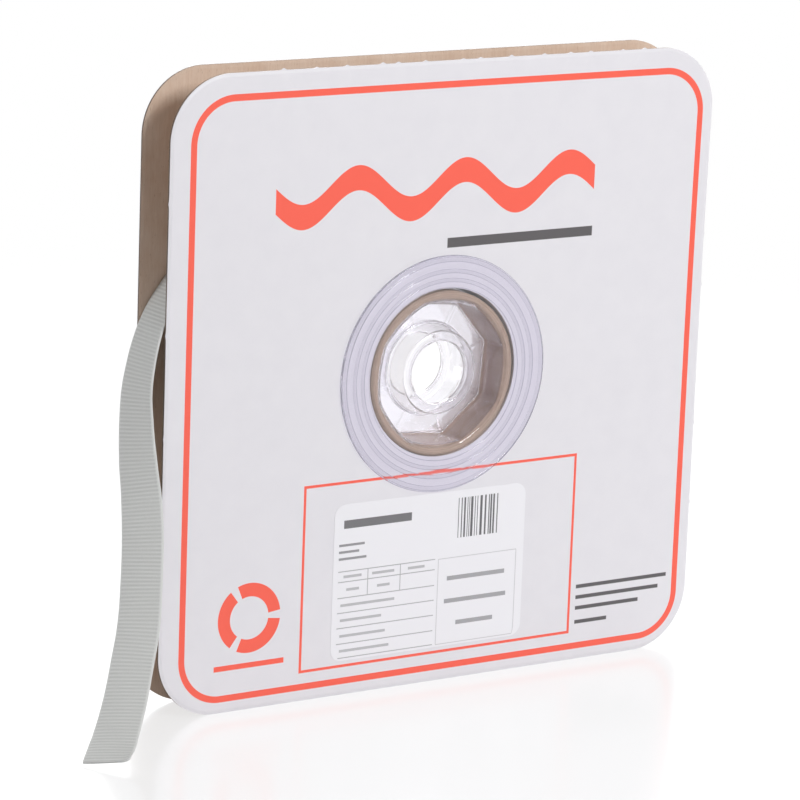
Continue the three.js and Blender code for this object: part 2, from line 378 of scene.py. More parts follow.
def soft_corners(corners: Array, reach: float, steps: int, most: float = 0.45) -> Array:
    """Rounds the corners of a closed outline.

    Each corner becomes a quadratic curve from a point on the edge before it to a point on the edge
    after it, both at the reach from the corner, or at a share of the shorter edge where that is less.

    Args:
        corners: Corner points in order, with any number of values for each.
        reach: Distance along the edges at which the rounding starts.
        steps: Points on each rounded corner.
        most: Largest share of an edge that one corner takes.

    Returns:
        The points of the rounded outline.
    """
    before = np.roll(corners, 1, axis=0) - corners
    after = np.roll(corners, -1, axis=0) - corners
    length_before = np.linalg.norm(before[:, :2], axis=1)
    length_after = np.linalg.norm(after[:, :2], axis=1)
    kept = np.minimum(reach, most * np.minimum(length_before, length_after))
    start = corners + before * (kept / length_before)[:, None]
    end = corners + after * (kept / length_after)[:, None]
    t = np.linspace(0, 1, steps)[None, :, None]
    curve = (1 - t) ** 2 * start[:, None] + 2 * t * (1 - t) * corners[:, None] + t ** 2 * end[:, None]
    return curve.reshape(-1, corners.shape[1])


@dataclass(frozen=True)
class PhotoCamera:
    """Camera at the photograph's viewpoint, in degrees and millimetres."""

    azimuth: float = -33.20
    elevation: float = 13.09
    roll: float = 2.122
    distance: float = 1666.7
    target: tuple[float, float, float] = (-12.05, 0.0, 115.77)
    focal_pixels: float = 4164.8
    image_pixels: float = 800.0
    sensor: float = 36.0
    near: float = 50.0
    far: float = 50000.0

    def build(self) -> None:
        """Makes the camera: it stands back from its target and is rolled about its own axis."""
        turn = math.radians(self.azimuth)
        lift = math.radians(self.elevation)
        right = Vector((math.cos(turn), math.sin(turn), 0))
        back = Vector((math.sin(turn) * math.cos(lift), -math.cos(turn) * math.cos(lift), math.sin(lift)))
        spin = Matrix.Rotation(math.radians(self.roll), 3, back)
        across = spin @ right
        up = spin @ back.cross(right)
        data = bpy.data.cameras.new("photo_camera")
        data.sensor_width = self.sensor
        data.lens = self.sensor * self.focal_pixels / self.image_pixels
        data.clip_start = self.near * MM
        data.clip_end = self.far * MM
        camera = bpy.data.objects.new("photo_camera", data)
        axes = Matrix((across, up, back)).transposed().to_4x4()
        place = (Vector(self.target) + back * self.distance) * MM
        camera.matrix_world = Matrix.Translation(place) @ axes
        bpy.context.scene.collection.objects.link(camera)
        bpy.context.scene.camera = camera


@dataclass(frozen=True)
class SoftLamp:
    """A large soft lamp: where it is, what it looks at, its width and height, and its power in watts."""

    name: str
    place: tuple[float, float, float]
    aim: tuple[float, float, float]
    width: float
    height: float
    watts: float

    def build(self) -> None:
        """Makes the lamp as a rectangle that faces its aim."""
        data = bpy.data.lights.new(self.name, "AREA")
        data.shape = "RECTANGLE"
        data.size = self.width * MM
        data.size_y = self.height * MM
        data.energy = self.watts
        lamp = bpy.data.objects.new(self.name, data)
        lamp.location = Vector(self.place) * MM
        look = Vector(self.aim) - Vector(self.place)
        lamp.rotation_euler = look.to_track_quat("-Z", "Y").to_euler()
        lamp.visible_camera = False
        lamp.visible_transmission = False
        bpy.context.scene.collection.objects.link(lamp)


@dataclass(frozen=True)
class FloorAcrylic(Finish):
    """Polished white acrylic: a clear faint reflection on white, fading into the surround."""

    fade_start: float = 420.0
    fade_end: float = 900.0
    colour: str = "#c8c8ca"
    glow: float = 0.75
    white: float = 1.15
    polish: float = 0.8
    roughness: float = 0.2
    ior: float = 1.45

    def shade(self, add: Add) -> Socket:
        """A matt sheet that glows where it is seen, under a gloss, and lets go with the distance.

        Args:
            add: The function that adds a node.

        Returns:
            The shader of the surface.
        """
        place = add("TexCoord", out="Object")
        reach = add("VectorMath", {0: place}, out="Value", operation="LENGTH")
        limits = {"From Min": self.fade_start * MM, "From Max": self.fade_end * MM}
        fade = add("MapRange", {"Value": reach, **limits}, interpolation_type="SMOOTHSTEP")
        matt = add("BsdfDiffuse", {"Color": linear(self.colour)})
        white = add("Emission", {"Color": WHITE, "Strength": self.white})
        straight = seen(add)
        glow = add("Math", {0: straight, 1: self.glow}, operation="MULTIPLY")
        sheet = add("MixShader", {0: glow, 1: matt, 2: white})
        gloss = add("BsdfGlossy", {"Color": WHITE, "Roughness": self.roughness})
        mirror = add("Fresnel", {"IOR": self.ior})
        mirror = add("Math", {0: mirror, 1: self.polish}, operation="MULTIPLY")
        sheet = add("MixShader", {0: mirror, 1: sheet, 2: gloss})
        fade = add("Math", {0: fade, 1: straight}, operation="MULTIPLY")
        return add("MixShader", {0: fade, 1: sheet, 2: add("BsdfTransparent")})


@dataclass(frozen=True)
class Studio:
    """White studio: a polished white floor, an even white surround and four soft lamps.

    The key lamp stands high in front, the side lamp is level with the reel at the left, so that it
    lights the hanging tape and not the gap between the flanges, the back lamp lights the rear, and the
    right lamp, a little behind the reel, lights the turns of tape on its right.
    """

    floor_radius: float = 1500.0
    floor_rings: int = 12
    floor_steps: int = 96
    surround_light: float = 0.25
    light_bounces: int = 24
    lamps: tuple[SoftLamp, ...] = (
        SoftLamp("key_lamp", (250, -1450, 950), (0, 0, 110), 520, 420, 17.3),
        SoftLamp("side_lamp", (-1500, 550, 350), (-100, 0, 110), 700, 700, 7.5),
        SoftLamp("back_lamp", (700, 1250, 950), (0, 0, 110), 900, 700, 16),
        SoftLamp("right_lamp", (1500, 350, 350), (100, 0, 110), 700, 700, 8),
    )

    def build(self) -> None:
        """Makes the floor, the surround and the lamps."""
        self.floor()
        self.surround()
        for lamp in self.lamps:
            lamp.build()
        scene = bpy.context.scene
        scene.view_settings.view_transform = "Standard"
        scene.cycles.max_bounces = self.light_bounces
        scene.cycles.transmission_bounces = self.light_bounces
        scene.cycles.transparent_max_bounces = self.light_bounces

    def floor(self) -> None:
        """Makes the floor: a disc of rings, each point at a radius and an angle."""
        radius = np.linspace(1, self.floor_radius, self.floor_rings)
        angle = np.linspace(0, TURN, self.floor_steps, endpoint=False)
        x = radius[:, None] * np.cos(angle)
        z = np.zeros_like(x)
        points = np.stack([x, radius[:, None] * np.sin(angle), z], axis=-1)
        quads = grid_quads(self.floor_rings, self.floor_steps, wrap_columns=True)
        quads = np.concatenate([quads[:, ::-1], cap_quads(0, self.floor_steps)])
        mesh = bpy.data.meshes.new("floor")
        mesh.from_pydata((points.reshape(-1, 3) * MM).tolist(), [], quads.tolist())
        floor = bpy.data.objects.new("floor", mesh)
        bpy.context.scene.collection.objects.link(floor)
        mesh.materials.append(FloorAcrylic("polished_white_acrylic").material())

    def surround(self) -> None:
        """Makes the surround: white to the eye, in gloss and through glass, and a dimmer white as light."""
        world = bpy.data.worlds.new("white_surround")
        bpy.context.scene.world = world
        add = fresh_nodes(world)
        strength = add("MapRange", {"Value": seen(add), "To Min": self.surround_light, "To Max": 1.0})
        white = add("Background", {"Color": WHITE, "Strength": strength})
        add("OutputWorld", {"Surface": white})


@dataclass(frozen=True)
class Print:
    """Printed lines and marks, drawn as masks from the place on the face, in metres on X and Z."""

    add: Add
    place: Socket
    softness: float = 0.12

    def from_centre(self, centre: tuple[float, float]) -> Socket:
        """Place on the face measured from a centre, with its depth taken away.

        Args:
            centre: The centre's X and Z in millimetres.

        Returns:
            The way from the centre, in metres.
        """
        away = (centre[0] * MM, 0, centre[1] * MM)
        moved = self.add("VectorMath", {0: self.place, 1: away}, operation="SUBTRACT")
        return self.add("VectorMath", {0: moved, 1: (1, 0, 1)}, operation="MULTIPLY")

    def inside(self, distance: Socket, limit: float) -> Socket:
        """Mask that is 1 where a distance is under a limit, with a soft edge.

        Args:
            distance: The distance in metres.
            limit: The limit in millimetres.

        Returns:
            The mask.
        """
        limits = {"From Min": (limit - self.softness) * MM, "From Max": (limit + self.softness) * MM}
        values = {"Value": distance, **limits, "To Min": 1.0, "To Max": 0.0}
        return self.add("MapRange", values, interpolation_type="SMOOTHSTEP")

    def off_circle(self, vector: Socket, radius: float) -> Socket:
        """How far the length of a vector is from a radius.

        Args:
            vector: The vector, in metres.
            radius: The radius in millimetres.

        Returns:
            The difference in metres, without its sign.
        """
        length = self.add("VectorMath", {0: vector}, out="Value", operation="LENGTH")
        distance = self.add("Math", {0: length, 1: radius * MM}, operation="SUBTRACT")
        return self.add("Math", {0: distance}, operation="ABSOLUTE")

    def round_distance(self, centre: tuple, size: tuple, radius: float) -> Socket:
        """Distance from the line of a round-cornered rectangle.

        The distance is the length of the part that lies past the straight core, less the radius.

        Args:
            centre: The rectangle's middle.
            size: Its width and height.
            radius: Its corner radius.

        Returns:
            The distance in metres, without its sign.
        """
        core = ((size[0] / 2 - radius) * MM, 0, (size[1] / 2 - radius) * MM)
        past = self.add("VectorMath", {0: self.from_centre(centre)}, operation="ABSOLUTE")
        past = self.add("VectorMath", {0: past, 1: core}, operation="SUBTRACT")
        past = self.add("VectorMath", {0: past, 1: (0, 0, 0)}, operation="MAXIMUM")
        return self.off_circle(past, radius)

    def square_distance(self, centre: tuple, size: tuple) -> Socket:
        """Signed distance from the edge of a rectangle: the larger of its two overhangs.

        Args:
            centre: The rectangle's middle.
            size: Its width and height.

        Returns:
            The distance in metres, under 0 inside.
        """
        half = (size[0] / 2 * MM, 1, size[1] / 2 * MM)
        past = self.add("VectorMath", {0: self.from_centre(centre)}, operation="ABSOLUTE")
        past = self.add("VectorMath", {0: past, 1: half}, operation="SUBTRACT")
        parts = self.add("SeparateXYZ", {0: past}, out=None)
        return self.add("Math", {0: parts["X"], 1: parts["Z"]}, operation="MAXIMUM")

    def bar(self, centre: tuple, size: tuple) -> Socket:
        """Mask of a plain printed bar."""
        return self.inside(self.square_distance(centre, size), 0.0)

    def frame_line(self, centre: tuple, size: tuple, width: float) -> Socket:
        """Mask of a thin square-cornered frame.

        Args:
            centre: The frame's middle.
            size: Its width and height.
            width: The line's width.

        Returns:
            The mask.
        """
        distance = self.square_distance(centre, size)
        distance = self.add("Math", {0: distance}, operation="ABSOLUTE")
        return self.inside(distance, width / 2)

    def border_line(self, centre: tuple, size: tuple, radius: float, width: float) -> Socket:
        """Mask of a round-cornered border."""
        return self.inside(self.round_distance(centre, size, radius), width / 2)

    def arc_ring(self, centre: tuple, radius: float, width: float, arcs: int, gap: float) -> Socket:
        """Mask of a ring cut into equal arcs.

        The ring lies where the distance from the centre is near the radius, and it is open where the
        cosine of the angle times the number of arcs is high.

        Args:
            centre: The ring's middle.
            radius: The radius of its line.
            width: The line's width.
            arcs: The number of arcs.
            gap: The share of the ring that is left open.

        Returns:
            The mask.
        """
        moved = self.from_centre(centre)
        parts = self.add("SeparateXYZ", {0: moved}, out=None)
        angle = self.add("Math", {0: parts["Z"], 1: parts["X"]}, operation="ARCTAN2")
        angle = self.add("Math", {0: angle, 1: float(arcs)}, operation="MULTIPLY")
        wave = self.add("Math", {0: angle}, operation="COSINE")
        kept = self.add("Math", {0: wave, 1: math.cos(math.pi * gap)}, operation="LESS_THAN")
        ring = self.inside(self.off_circle(moved, radius), width / 2)
        return self.add("Math", {0: ring, 1: kept}, operation="MULTIPLY")

    def wavy_band(self, centre: tuple, size: tuple, swing: float, wavelength: float) -> Socket:
        """Mask of a plain wavy band, like a strip seen from its edge.

        The band lies where the height above a sine of the distance across is under half its width,
        and it ends at half its length on both sides.

        Args:
            centre: The band's middle.
            size: Its length and its width.
            swing: The height of its waves.
            wavelength: The length of one wave.

        Returns:
            The mask.
        """
        parts = self.add("SeparateXYZ", {0: self.from_centre(centre)}, out=None)
        turns = self.add("Math", {0: parts["X"], 1: TURN / (wavelength * MM)}, operation="MULTIPLY")
        wave = self.add("Math", {0: turns}, operation="SINE")
        wave = self.add("Math", {0: wave, 1: swing * MM}, operation="MULTIPLY")
        height = self.add("Math", {0: parts["Z"], 1: wave}, operation="SUBTRACT")
        height = self.add("Math", {0: height}, operation="ABSOLUTE")
        along = self.add("Math", {0: parts["X"]}, operation="ABSOLUTE")
        band = self.inside(height, size[1] / 2)
        ends = self.inside(along, size[0] / 2)
        return self.add("Math", {0: band, 1: ends}, operation="MULTIPLY")

    def together(self, masks: list[Socket]) -> Socket:
        """The largest of several masks.

        Args:
            masks: The masks to join.

        Returns:
            One mask.
        """
        whole = masks[0]
        for mask in masks[1:]:
            whole = self.add("Math", {0: whole, 1: mask}, operation="MAXIMUM")
        return whole


@dataclass(frozen=True)
class CoatedBoard(Finish):
    """Clay-coated white liner board, offset printed: smooth, faintly mottled, with a soft gloss.

    Each mark is given as Print draws it: its middle, its size, and then its radius, widths or waves.
    """

    side: Side
    white: str = "#e9e7eb"
    mottle: str = "#e3e1e6"
    orange: str = "#fc6450"
    dark_ink: str = "#5a5759"
    raw_back: str = "#9b8677"
    cut: str = "#cfcacb"
    mottle_size: float = 9.0
    flute_share: float = 0.6
    smoothest: float = 0.36
    roughest: float = 0.52
    border: tuple = ((1.98, 125.16), (237.8, 238.7), 17.8, 2.7)
    label_frame: tuple = ((2.4, 49.9), (129.8, 75.6), 1.15)
    ring: tuple = ((-86.6, 37.5), 11.5, 5.5, 3, 0.12)
    ring_bar: tuple = ((-86.2, 18.2), (32.0, 2.2))
    band: tuple = ((-5.0, 203.0), (150.0, 10.0), 7.0, 50.0)
    dark_bars: tuple = (
        ((93.5, 31.2), (46.0, 1.6)),
        ((91.5, 26.6), (42.0, 1.6)),
        ((86.5, 22.0), (32.0, 1.6)),
        ((78.6, 16.0), (16.2, 1.6)),
        ((35.0, 181.0), (70.0, 4.0)),
    )

    def shade(self, add: Add) -> Socket:
        """White coat with its print outside, and raw grey-brown board on the rest.

        Args:
            add: The function that adds a node.

        Returns:
            The shader of the surface.
        """
        place = add("TexCoord", out="Object")
        cloud = add("TexNoise", {"Vector": place, "Scale": 1 / (self.mottle_size * MM), "Detail": 4.0})
        paper = add("Mix", {0: cloud, 6: linear(self.white), 7: linear(self.mottle)}, **COLOUR_MIX)
        printed = Print(add, place)
        paper = add("Mix", {0: self.orange_marks(printed), 6: paper, 7: linear(self.orange)}, **COLOUR_MIX)
        if self.side is Side.FRONT:
            dark = self.dark_marks(printed)
            paper = add("Mix", {0: dark, 6: paper, 7: linear(self.dark_ink)}, **COLOUR_MIX)
        coat = add("Attribute", out="Fac", attribute_name="coat")
        colour = add("Mix", {0: coat, 6: linear(self.raw_back), 7: paper}, **COLOUR_MIX)
        edge = add("Attribute", out="Fac", attribute_name="cut")
        colour = add("Mix", {0: edge, 6: colour, 7: linear(self.cut)}, **COLOUR_MIX)
        relief = add("Mix", {0: self.flute_share, 2: cloud, 3: flutes(add, place)}, data_type="FLOAT")
        bump = add("Bump", {"Height": relief, "Strength": 0.05, "Distance": 0.1 * MM})
        gloss = add("MapRange", {"Value": cloud, "To Min": self.smoothest, "To Max": self.roughest})
        return add("BsdfPrincipled", {"Base Color": colour, "Roughness": gloss, "Normal": bump, "IOR": 1.5})

    def orange_marks(self, printed: Print) -> Socket:
        """The orange print: the border and, on the front, a frame, a ring of arcs, a bar and a wavy band.

        Args:
            printed: The print that draws the marks.

        Returns:
            The mask of the orange ink.
        """
        marks = [printed.border_line(*self.border)]
        if self.side is Side.FRONT:
            marks += [printed.frame_line(*self.label_frame), printed.arc_ring(*self.ring)]
            marks += [printed.bar(*self.ring_bar), printed.wavy_band(*self.band)]
        return printed.together(marks)

    def dark_marks(self, printed: Print) -> Socket:
        """The dark print: a few plain bars."""
        return printed.together([printed.bar(*bar) for bar in self.dark_bars])


@dataclass(frozen=True)
class KraftPaper(Finish):
    """Unbleached kraft paper: matt, brown, with long pulp fibres and the flutes faintly showing."""

    light: str = "#dcc9b9"
    dark: str = "#cbb19d"
    fleck: str = "#9c7d64"
    # Dark cut edges on the front: painted shade in the board's edge; the rear flange passes a paler cut
    # colour
    cut: str = "#5b524e"
    fibre_length: float = 6.0
    fibre_width: float = 0.7
    cloud_size: float = 14.0
    cloud_share: float = 0.55
    flute_share: float = 0.5

    def shade(self, add: Add) -> Socket:
        """Brown from two noises, one of them stretched along the fibres, and a faint washboard.

        Args:
            add: The function that adds a node.

        Returns:
            The shader of the surface.
        """
        place = add("TexCoord", out="Object")
        stretch = (1 / (self.fibre_width * MM), 1 / (self.fibre_width * MM), 1 / (self.fibre_length * MM))
        along = add("Mapping", {"Vector": place, "Scale": stretch})
        fibre = add("TexNoise", {"Vector": along, "Scale": 1.0, "Detail": 5.0, "Roughness": 0.6})
        cloud = add("TexNoise", {"Vector": place, "Scale": 1 / (self.cloud_size * MM), "Detail": 3.0})
        share = add("Mix", {0: self.cloud_share, 2: fibre, 3: cloud}, data_type="FLOAT")
        share = add("MapRange", {"Value": share, "From Min": 0.3, "From Max": 0.7})
        brown = add("Mix", {0: share, 6: linear(self.light), 7: linear(self.dark)}, **COLOUR_MIX)
        specks = add("TexNoise", {"Vector": along, "Scale": 2.3, "Detail": 2.0})
        specks = add("MapRange", {"Value": specks, "From Min": 0.66, "From Max": 0.76})
        brown = add("Mix", {0: specks, 6: brown, 7: linear(self.fleck)}, **COLOUR_MIX)
        # Cut edges take the cut colour, which on the front is painted shade
        edge = add("Attribute", out="Fac", attribute_name="cut")
        brown = add("Mix", {0: edge, 6: brown, 7: linear(self.cut)}, **COLOUR_MIX)
        relief = add("Mix", {0: self.flute_share, 2: fibre, 3: flutes(add, place)}, data_type="FLOAT")
        bump = add("Bump", {"Height": relief, "Strength": 0.35, "Distance": 0.15 * MM})
        return add("BsdfPrincipled", {"Base Color": brown, "Roughness": 0.86, "Normal": bump})


@dataclass(frozen=True)
class LabelPaper(Finish):
    """Self-adhesive label paper, thermally printed: brighter and a little smoother than the board."""

    white: str = "#f1f0f4"
    ink: str = "#3f3d40"
    grain: float = 2.0

    def shade(self, add: Add) -> Socket:
        """White paper, with ink where the face attribute says.

        Args:
            add: The function that adds a node.

        Returns:
            The shader of the surface.
        """
        place = add("TexCoord", out="Object")
        cloud = add("TexNoise", {"Vector": place, "Scale": 1 / (self.grain * MM), "Detail": 4.0})
        ink = add("Attribute", out="Fac", attribute_name="ink")
        colour = add("Mix", {0: ink, 6: linear(self.white), 7: linear(self.ink)}, **COLOUR_MIX)
        gloss = add("MapRange", {"Value": cloud, "To Min": 0.34, "To Max": 0.46})
        bump = add("Bump", {"Height": cloud, "Strength": 0.05, "Distance": 0.05 * MM})
        return add("BsdfPrincipled", {"Base Color": colour, "Roughness": gloss, "Normal": bump})


@dataclass(frozen=True)
class CoreBoard(Finish):
    """Spiral-wound tube board: grey-brown plies whose edges show as rings on the cut end."""

    light: str = "#c6af9b"
    dark: str = "#a18972"
    ply: float = 0.9
    fibre_size: float = 2.2
    fibre_share: float = 0.6

    def shade(self, add: Add) -> Socket:
        """Ply rings by the radius from the tube's axis, broken up by fibre noise.

        Args:
            add: The function that adds a node.

        Returns:
            The shader of the surface.
        """
        place = add("TexCoord", out="Object")
        axis = tuple(roll_middle() * MM)
        moved = add("VectorMath", {0: place, 1: axis}, operation="SUBTRACT")
        flat = add("VectorMath", {0: moved, 1: (1, 0, 1)}, operation="MULTIPLY")
        radius = add("VectorMath", {0: flat}, out="Value", operation="LENGTH")
        turns = add("Math", {0: radius, 1: TURN / (self.ply * MM)}, operation="MULTIPLY")
        rings = add("Math", {0: turns}, operation="SINE")
        rings = add("MapRange", {"Value": rings, "From Min": -1.0, "From Max": 1.0})
        fibre = add("TexNoise", {"Vector": place, "Scale": 1 / (self.fibre_size * MM), "Detail": 5.0})
        share = add("Mix", {0: self.fibre_share, 2: rings, 3: fibre}, data_type="FLOAT")
        brown = add("Mix", {0: share, 6: linear(self.dark), 7: linear(self.light)}, **COLOUR_MIX)
        bump = add("Bump", {"Height": fibre, "Strength": 0.4, "Distance": 0.2 * MM})
        return add("BsdfPrincipled", {"Base Color": brown, "Roughness": 0.88, "Normal": bump})


@dataclass(frozen=True)
class ClearPolystyrene(Finish):
    """Clear moulded polystyrene: glass-like, faintly lilac, with moulding ripples.

    The steep faces of the rim and the grooves between its rings, which an attribute marks, are tinted
    greyer: painted shade for the dark lines that refraction and shade draw there.
    """

    tint: str = "#fdfcff"
    # Greyer tint of the rim's steep faces and grooves: painted shade
    riser_tint: str = "#adabbb"
    lets_through: str = "#f8f7fb"
    straight_through: float = 0.2
    ripple: float = 16.0

    def shade(self, add: Add) -> Socket:
        """Plastic that refracts what is behind it, and lets the lamps' light through.

        Args:
            add: The function that adds a node.

        Returns:
            The shader of the surface.
        """
        place = add("TexCoord", out="Object")
        waves = add("TexNoise", {"Vector": place, "Scale": 1 / (self.ripple * MM), "Detail": 1.0})
        bump = add("Bump", {"Height": waves, "Strength": 0.12, "Distance": 0.3 * MM})
        # Painted shade: the rim's steep faces and grooves take the greyer tint
        riser = add("Attribute", out="Fac", attribute_name="riser")
        colour = add("Mix", {0: riser, 6: linear(self.tint), 7: linear(self.riser_tint)}, **COLOUR_MIX)
        looks = {"Base Color": colour, "Roughness": 0.03, "IOR": 1.5, "Transmission Weight": 1.0}
        plastic = add("BsdfPrincipled", {**looks, "Normal": bump})
        through = add("BsdfTransparent", {"Color": linear(self.lets_through)})
        path = add("LightPath", out=None)
        share = path["Is Shadow Ray"]
        for limit in (path["Is Diffuse Ray"], self.straight_through):
            share = add("Math", {0: share, 1: limit}, operation="MAXIMUM")
        return add("MixShader", {0: share, 1: plastic, 2: through})


@dataclass(frozen=True)
class LoopTape(Finish):
    """Woven nylon tape with a loop pile: matt grey, ribbed across, softly lit at its edges."""

    strip: "TapeStrip"
    # Darker grey of the ribs' valleys, which is painted shade, and of the pile's random tone
    ground: str = "#bebfbd"
    rib: str = "#dadbd9"
    # Lighter edges: partly pale selvage, partly painted sheen
    selvage_and_sheen: str = "#dadbd9"
    pile: float = 0.45
    cloud_size: float = 6.0
    cloud_share: float = 0.5
    selvage_and_sheen_start: float = 1.1
    selvage_and_sheen_full: float = 0.3

    def shade(self, add: Add) -> Socket:
        """Ribs along the strip's own measure, darker in their valleys as painted shade, lighter edges
        that are partly pale selvage and partly painted sheen, and a fuzzy pile.

        Args:
            add: The function that adds a node.

        Returns:
            The shader of the surface.
        """
        strip = add("Attribute", out="Vector", attribute_name="strip")
        parts = add("SeparateXYZ", {0: strip}, out=None)
        # The ribs' colour follows their relief: darker in the valleys as painted shade, lighter on the tops
        turns = add("Math", {0: parts["Y"], 1: TURN / self.strip.rib_pitch}, operation="MULTIPLY")
        ribs = add("Math", {0: turns}, operation="COSINE")
        ribs = add("MapRange", {"Value": ribs, "From Min": 1.0, "From Max": -1.0})
        pile = add("TexNoise", {"Vector": strip, "Scale": 1 / self.pile, "Detail": 3.0})
        cloud = add("TexNoise", {"Vector": strip, "Scale": 1 / self.cloud_size, "Detail": 2.0})
        limits = {"Value": cloud, "From Min": 0.3, "From Max": 0.7, "To Min": 0.25, "To Max": 0.6}
        fuzz = add("MapRange", limits)
        share = add("Mix", {0: fuzz, 2: ribs, 3: pile}, data_type="FLOAT")
        grey = add("Mix", {0: share, 6: linear(self.ground), 7: linear(self.rib)}, **COLOUR_MIX)
        # The edges lighten: pale selvage with a painted sheen
        edge = add("Math", {0: parts["X"]}, operation="ABSOLUTE")
        half = self.strip.width / 2
        limits = {"From Min": half - self.selvage_and_sheen_start, "From Max": half - self.selvage_and_sheen_full}
        edge = add("MapRange", {"Value": edge, **limits})
        grey = add("Mix", {0: edge, 6: grey, 7: linear(self.selvage_and_sheen)}, **COLOUR_MIX)
        relief = add("Mix", {0: self.cloud_share, 2: pile, 3: cloud}, data_type="FLOAT")
        bump = add("Bump", {"Height": relief, "Strength": 0.5, "Distance": 0.2 * MM})
        looks = {"Base Color": grey, "Roughness": 0.92, "Sheen Weight": 0.25, "Sheen Roughness": 0.5}
        return add("BsdfPrincipled", {**looks, "Normal": bump})


@dataclass
class TapeStrip:
    """The tape's section: a flat strip with rounded edges and a ribbed loop face."""

    width: float = 19.0
    thickness: float = 0.9
    edge_power: float = 10.0
    thinnest: float = 0.35
    rib_pitch: float = 1.5
    rib_height: float = 0.08
    rib_edge_power: int = 8
    columns: int = 13

    def surface(self, middle: Array, across: Array, outward: Array, along: Array) -> tuple[Array, Array]:
        """Carries the section along a line of stations.

        Across the strip the half thickness falls to the edges as a root of one less a high power of the
        distance from the middle. The outward face also carries ribs, a cosine of the distance along.

        Args:
            middle: The stations' middle points.
            across: The direction across the strip at each station.
            outward: The direction out of the loop face at each station.
            along: The distance along the strip at each station.

        Returns:
            The grid of points, and for each the place across, the place along and the face.
        """
        spread = -np.cos(np.linspace(0, math.pi, self.columns))
        offset = spread * self.width / 2
        fall = (1 - np.abs(spread) ** self.edge_power) ** (1 / self.edge_power)
        half = self.thickness / 2 * np.maximum(fall, self.thinnest)
        rib = self.rib_height * (0.5 - 0.5 * np.cos(TURN * along / self.rib_pitch)) - self.rib_height
        top = half + rib[:, None] * (1 - spread ** self.rib_edge_power)
        sheet = middle[:, None] + across[:, None] * offset[None, :, None]
        outer = sheet + outward[:, None] * top[:, :, None]
        inner = sheet - outward[:, None] * half[None, :, None]
        points = np.concatenate([outer, inner[:, ::-1]], axis=1)
        ring_offset = np.concatenate([offset, offset[::-1]])
        face = np.repeat([1.0, -1.0], self.columns)
        across_place, along_place = np.meshgrid(ring_offset, along)
        face_place = np.broadcast_to(face, across_place.shape)
        return points, np.stack([across_place, along_place, face_place], axis=-1)

    def piece(self, name: str, points: Array, places: Array) -> bpy.types.Object:
        """Makes the strip's closed mesh from its grid of points, with its own measure on it.

        Args:
            name: The piece's name.
            points: The grid of points.
            places: For each point its place across, its place along and its face.

        Returns:
            The strip.
        """
        made = put_mesh(name, points, closed_quads(*points.shape[:2]), sharp_angle=70)
        put_attribute(made, "strip", places.reshape(-1, 3), Domain.POINT)
        return made


@dataclass
class WoundTape:
    """The tape on the core: the pack of turns, and the outermost turns with their ribs."""

    pitch: float = 1.35
    leaving_angle: float = 109.0
    leaving_radius: float = 104.17
    outer_turns: int = 2
    pack_turns: int = 49
    pack_steps: int = 72
    outer_steps: int = 2600
    pack_columns: int = 6
    outer_columns: int = 9

    def spiral(self, turns: float, steps: int, end_radius: float) -> tuple[Array, Array, Array, Array]:
        """Stations on a spiral that gains one pitch a turn and ends at the leaving angle.

        Args:
            turns: Number of turns.
            steps: Stations to a turn.
            end_radius: Radius of the strip's middle at the end.

        Returns:
            The middle points, the across and outward directions and the distances along.
        """
        left = np.linspace(turns, 0, round(turns * steps) + 1)
        angle = math.radians(self.leaving_angle) - TURN * left
        radius = end_radius - left * self.pitch
        flat = np.zeros_like(angle)
        outward = np.stack([np.cos(angle), flat, np.sin(angle)], axis=1)
        middle = roll_middle() + outward * radius[:, None]
        across = np.broadcast_to([0.0, 1.0, 0.0], middle.shape)
        return middle, across, outward, distance_along(middle)

    def build(self, material: bpy.types.Material) -> None:
        """Makes the pack and the outer turns.

        Args:
            material: The tape's material.
        """
        ribbed = TapeStrip(columns=self.outer_columns)
        outer = ribbed.surface(*self.spiral(self.outer_turns, self.outer_steps, self.leaving_radius))
        piece = ribbed.piece("tape_turns", *outer)
        dress(piece, material, Body.ROLL, "tape_outer_turns")
        plain = TapeStrip(rib_height=0.0, columns=self.pack_columns)
        pack_end = self.leaving_radius - self.outer_turns * self.pitch - self.pitch
        turns = plain.surface(*self.spiral(self.pack_turns, self.pack_steps, pack_end))
        piece = plain.piece("tape_inner_turns", *turns)
        dress(piece, material, Body.ROLL, "tape_pack")


def curve_through(points: Array, places: Array) -> Array:
    """Smooth curve through points, a centripetal Catmull-Rom spline.

    Between two points the curve is a cubic whose end slopes come from the points on both sides, with
    the square roots of the distances as spacing.

    Args:
        points: The points, with three coordinates each.
        places: Where to take the curve, as point numbers with fractions.

    Returns:
        A point of the curve for each place.
    """
    padded = np.vstack([2 * points[0] - points[1], points, 2 * points[-1] - points[-2]])
    stop = np.minimum(places.astype(int), len(points) - 2)
    share = (places - stop)[:, None]
    p0, p1, p2, p3 = (padded[stop + k] for k in range(4))
    d0 = np.sqrt(np.linalg.norm(p1 - p0, axis=1))[:, None]
    d1 = np.sqrt(np.linalg.norm(p2 - p1, axis=1))[:, None]
    d2 = np.sqrt(np.linalg.norm(p3 - p2, axis=1))[:, None]
    slope1 = ((p1 - p0) / d0 - (p2 - p0) / (d0 + d1) + (p2 - p1) / d1) * d1
    slope2 = ((p2 - p1) / d1 - (p3 - p1) / (d1 + d2) + (p3 - p2) / d2) * d1
    square = share ** 2
    cube = share ** 3
    ends = (2 * cube - 3 * square + 1) * p1 + (3 * square - 2 * cube) * p2
    return ends + (cube - 2 * square + share) * slope1 + (cube - square) * slope2


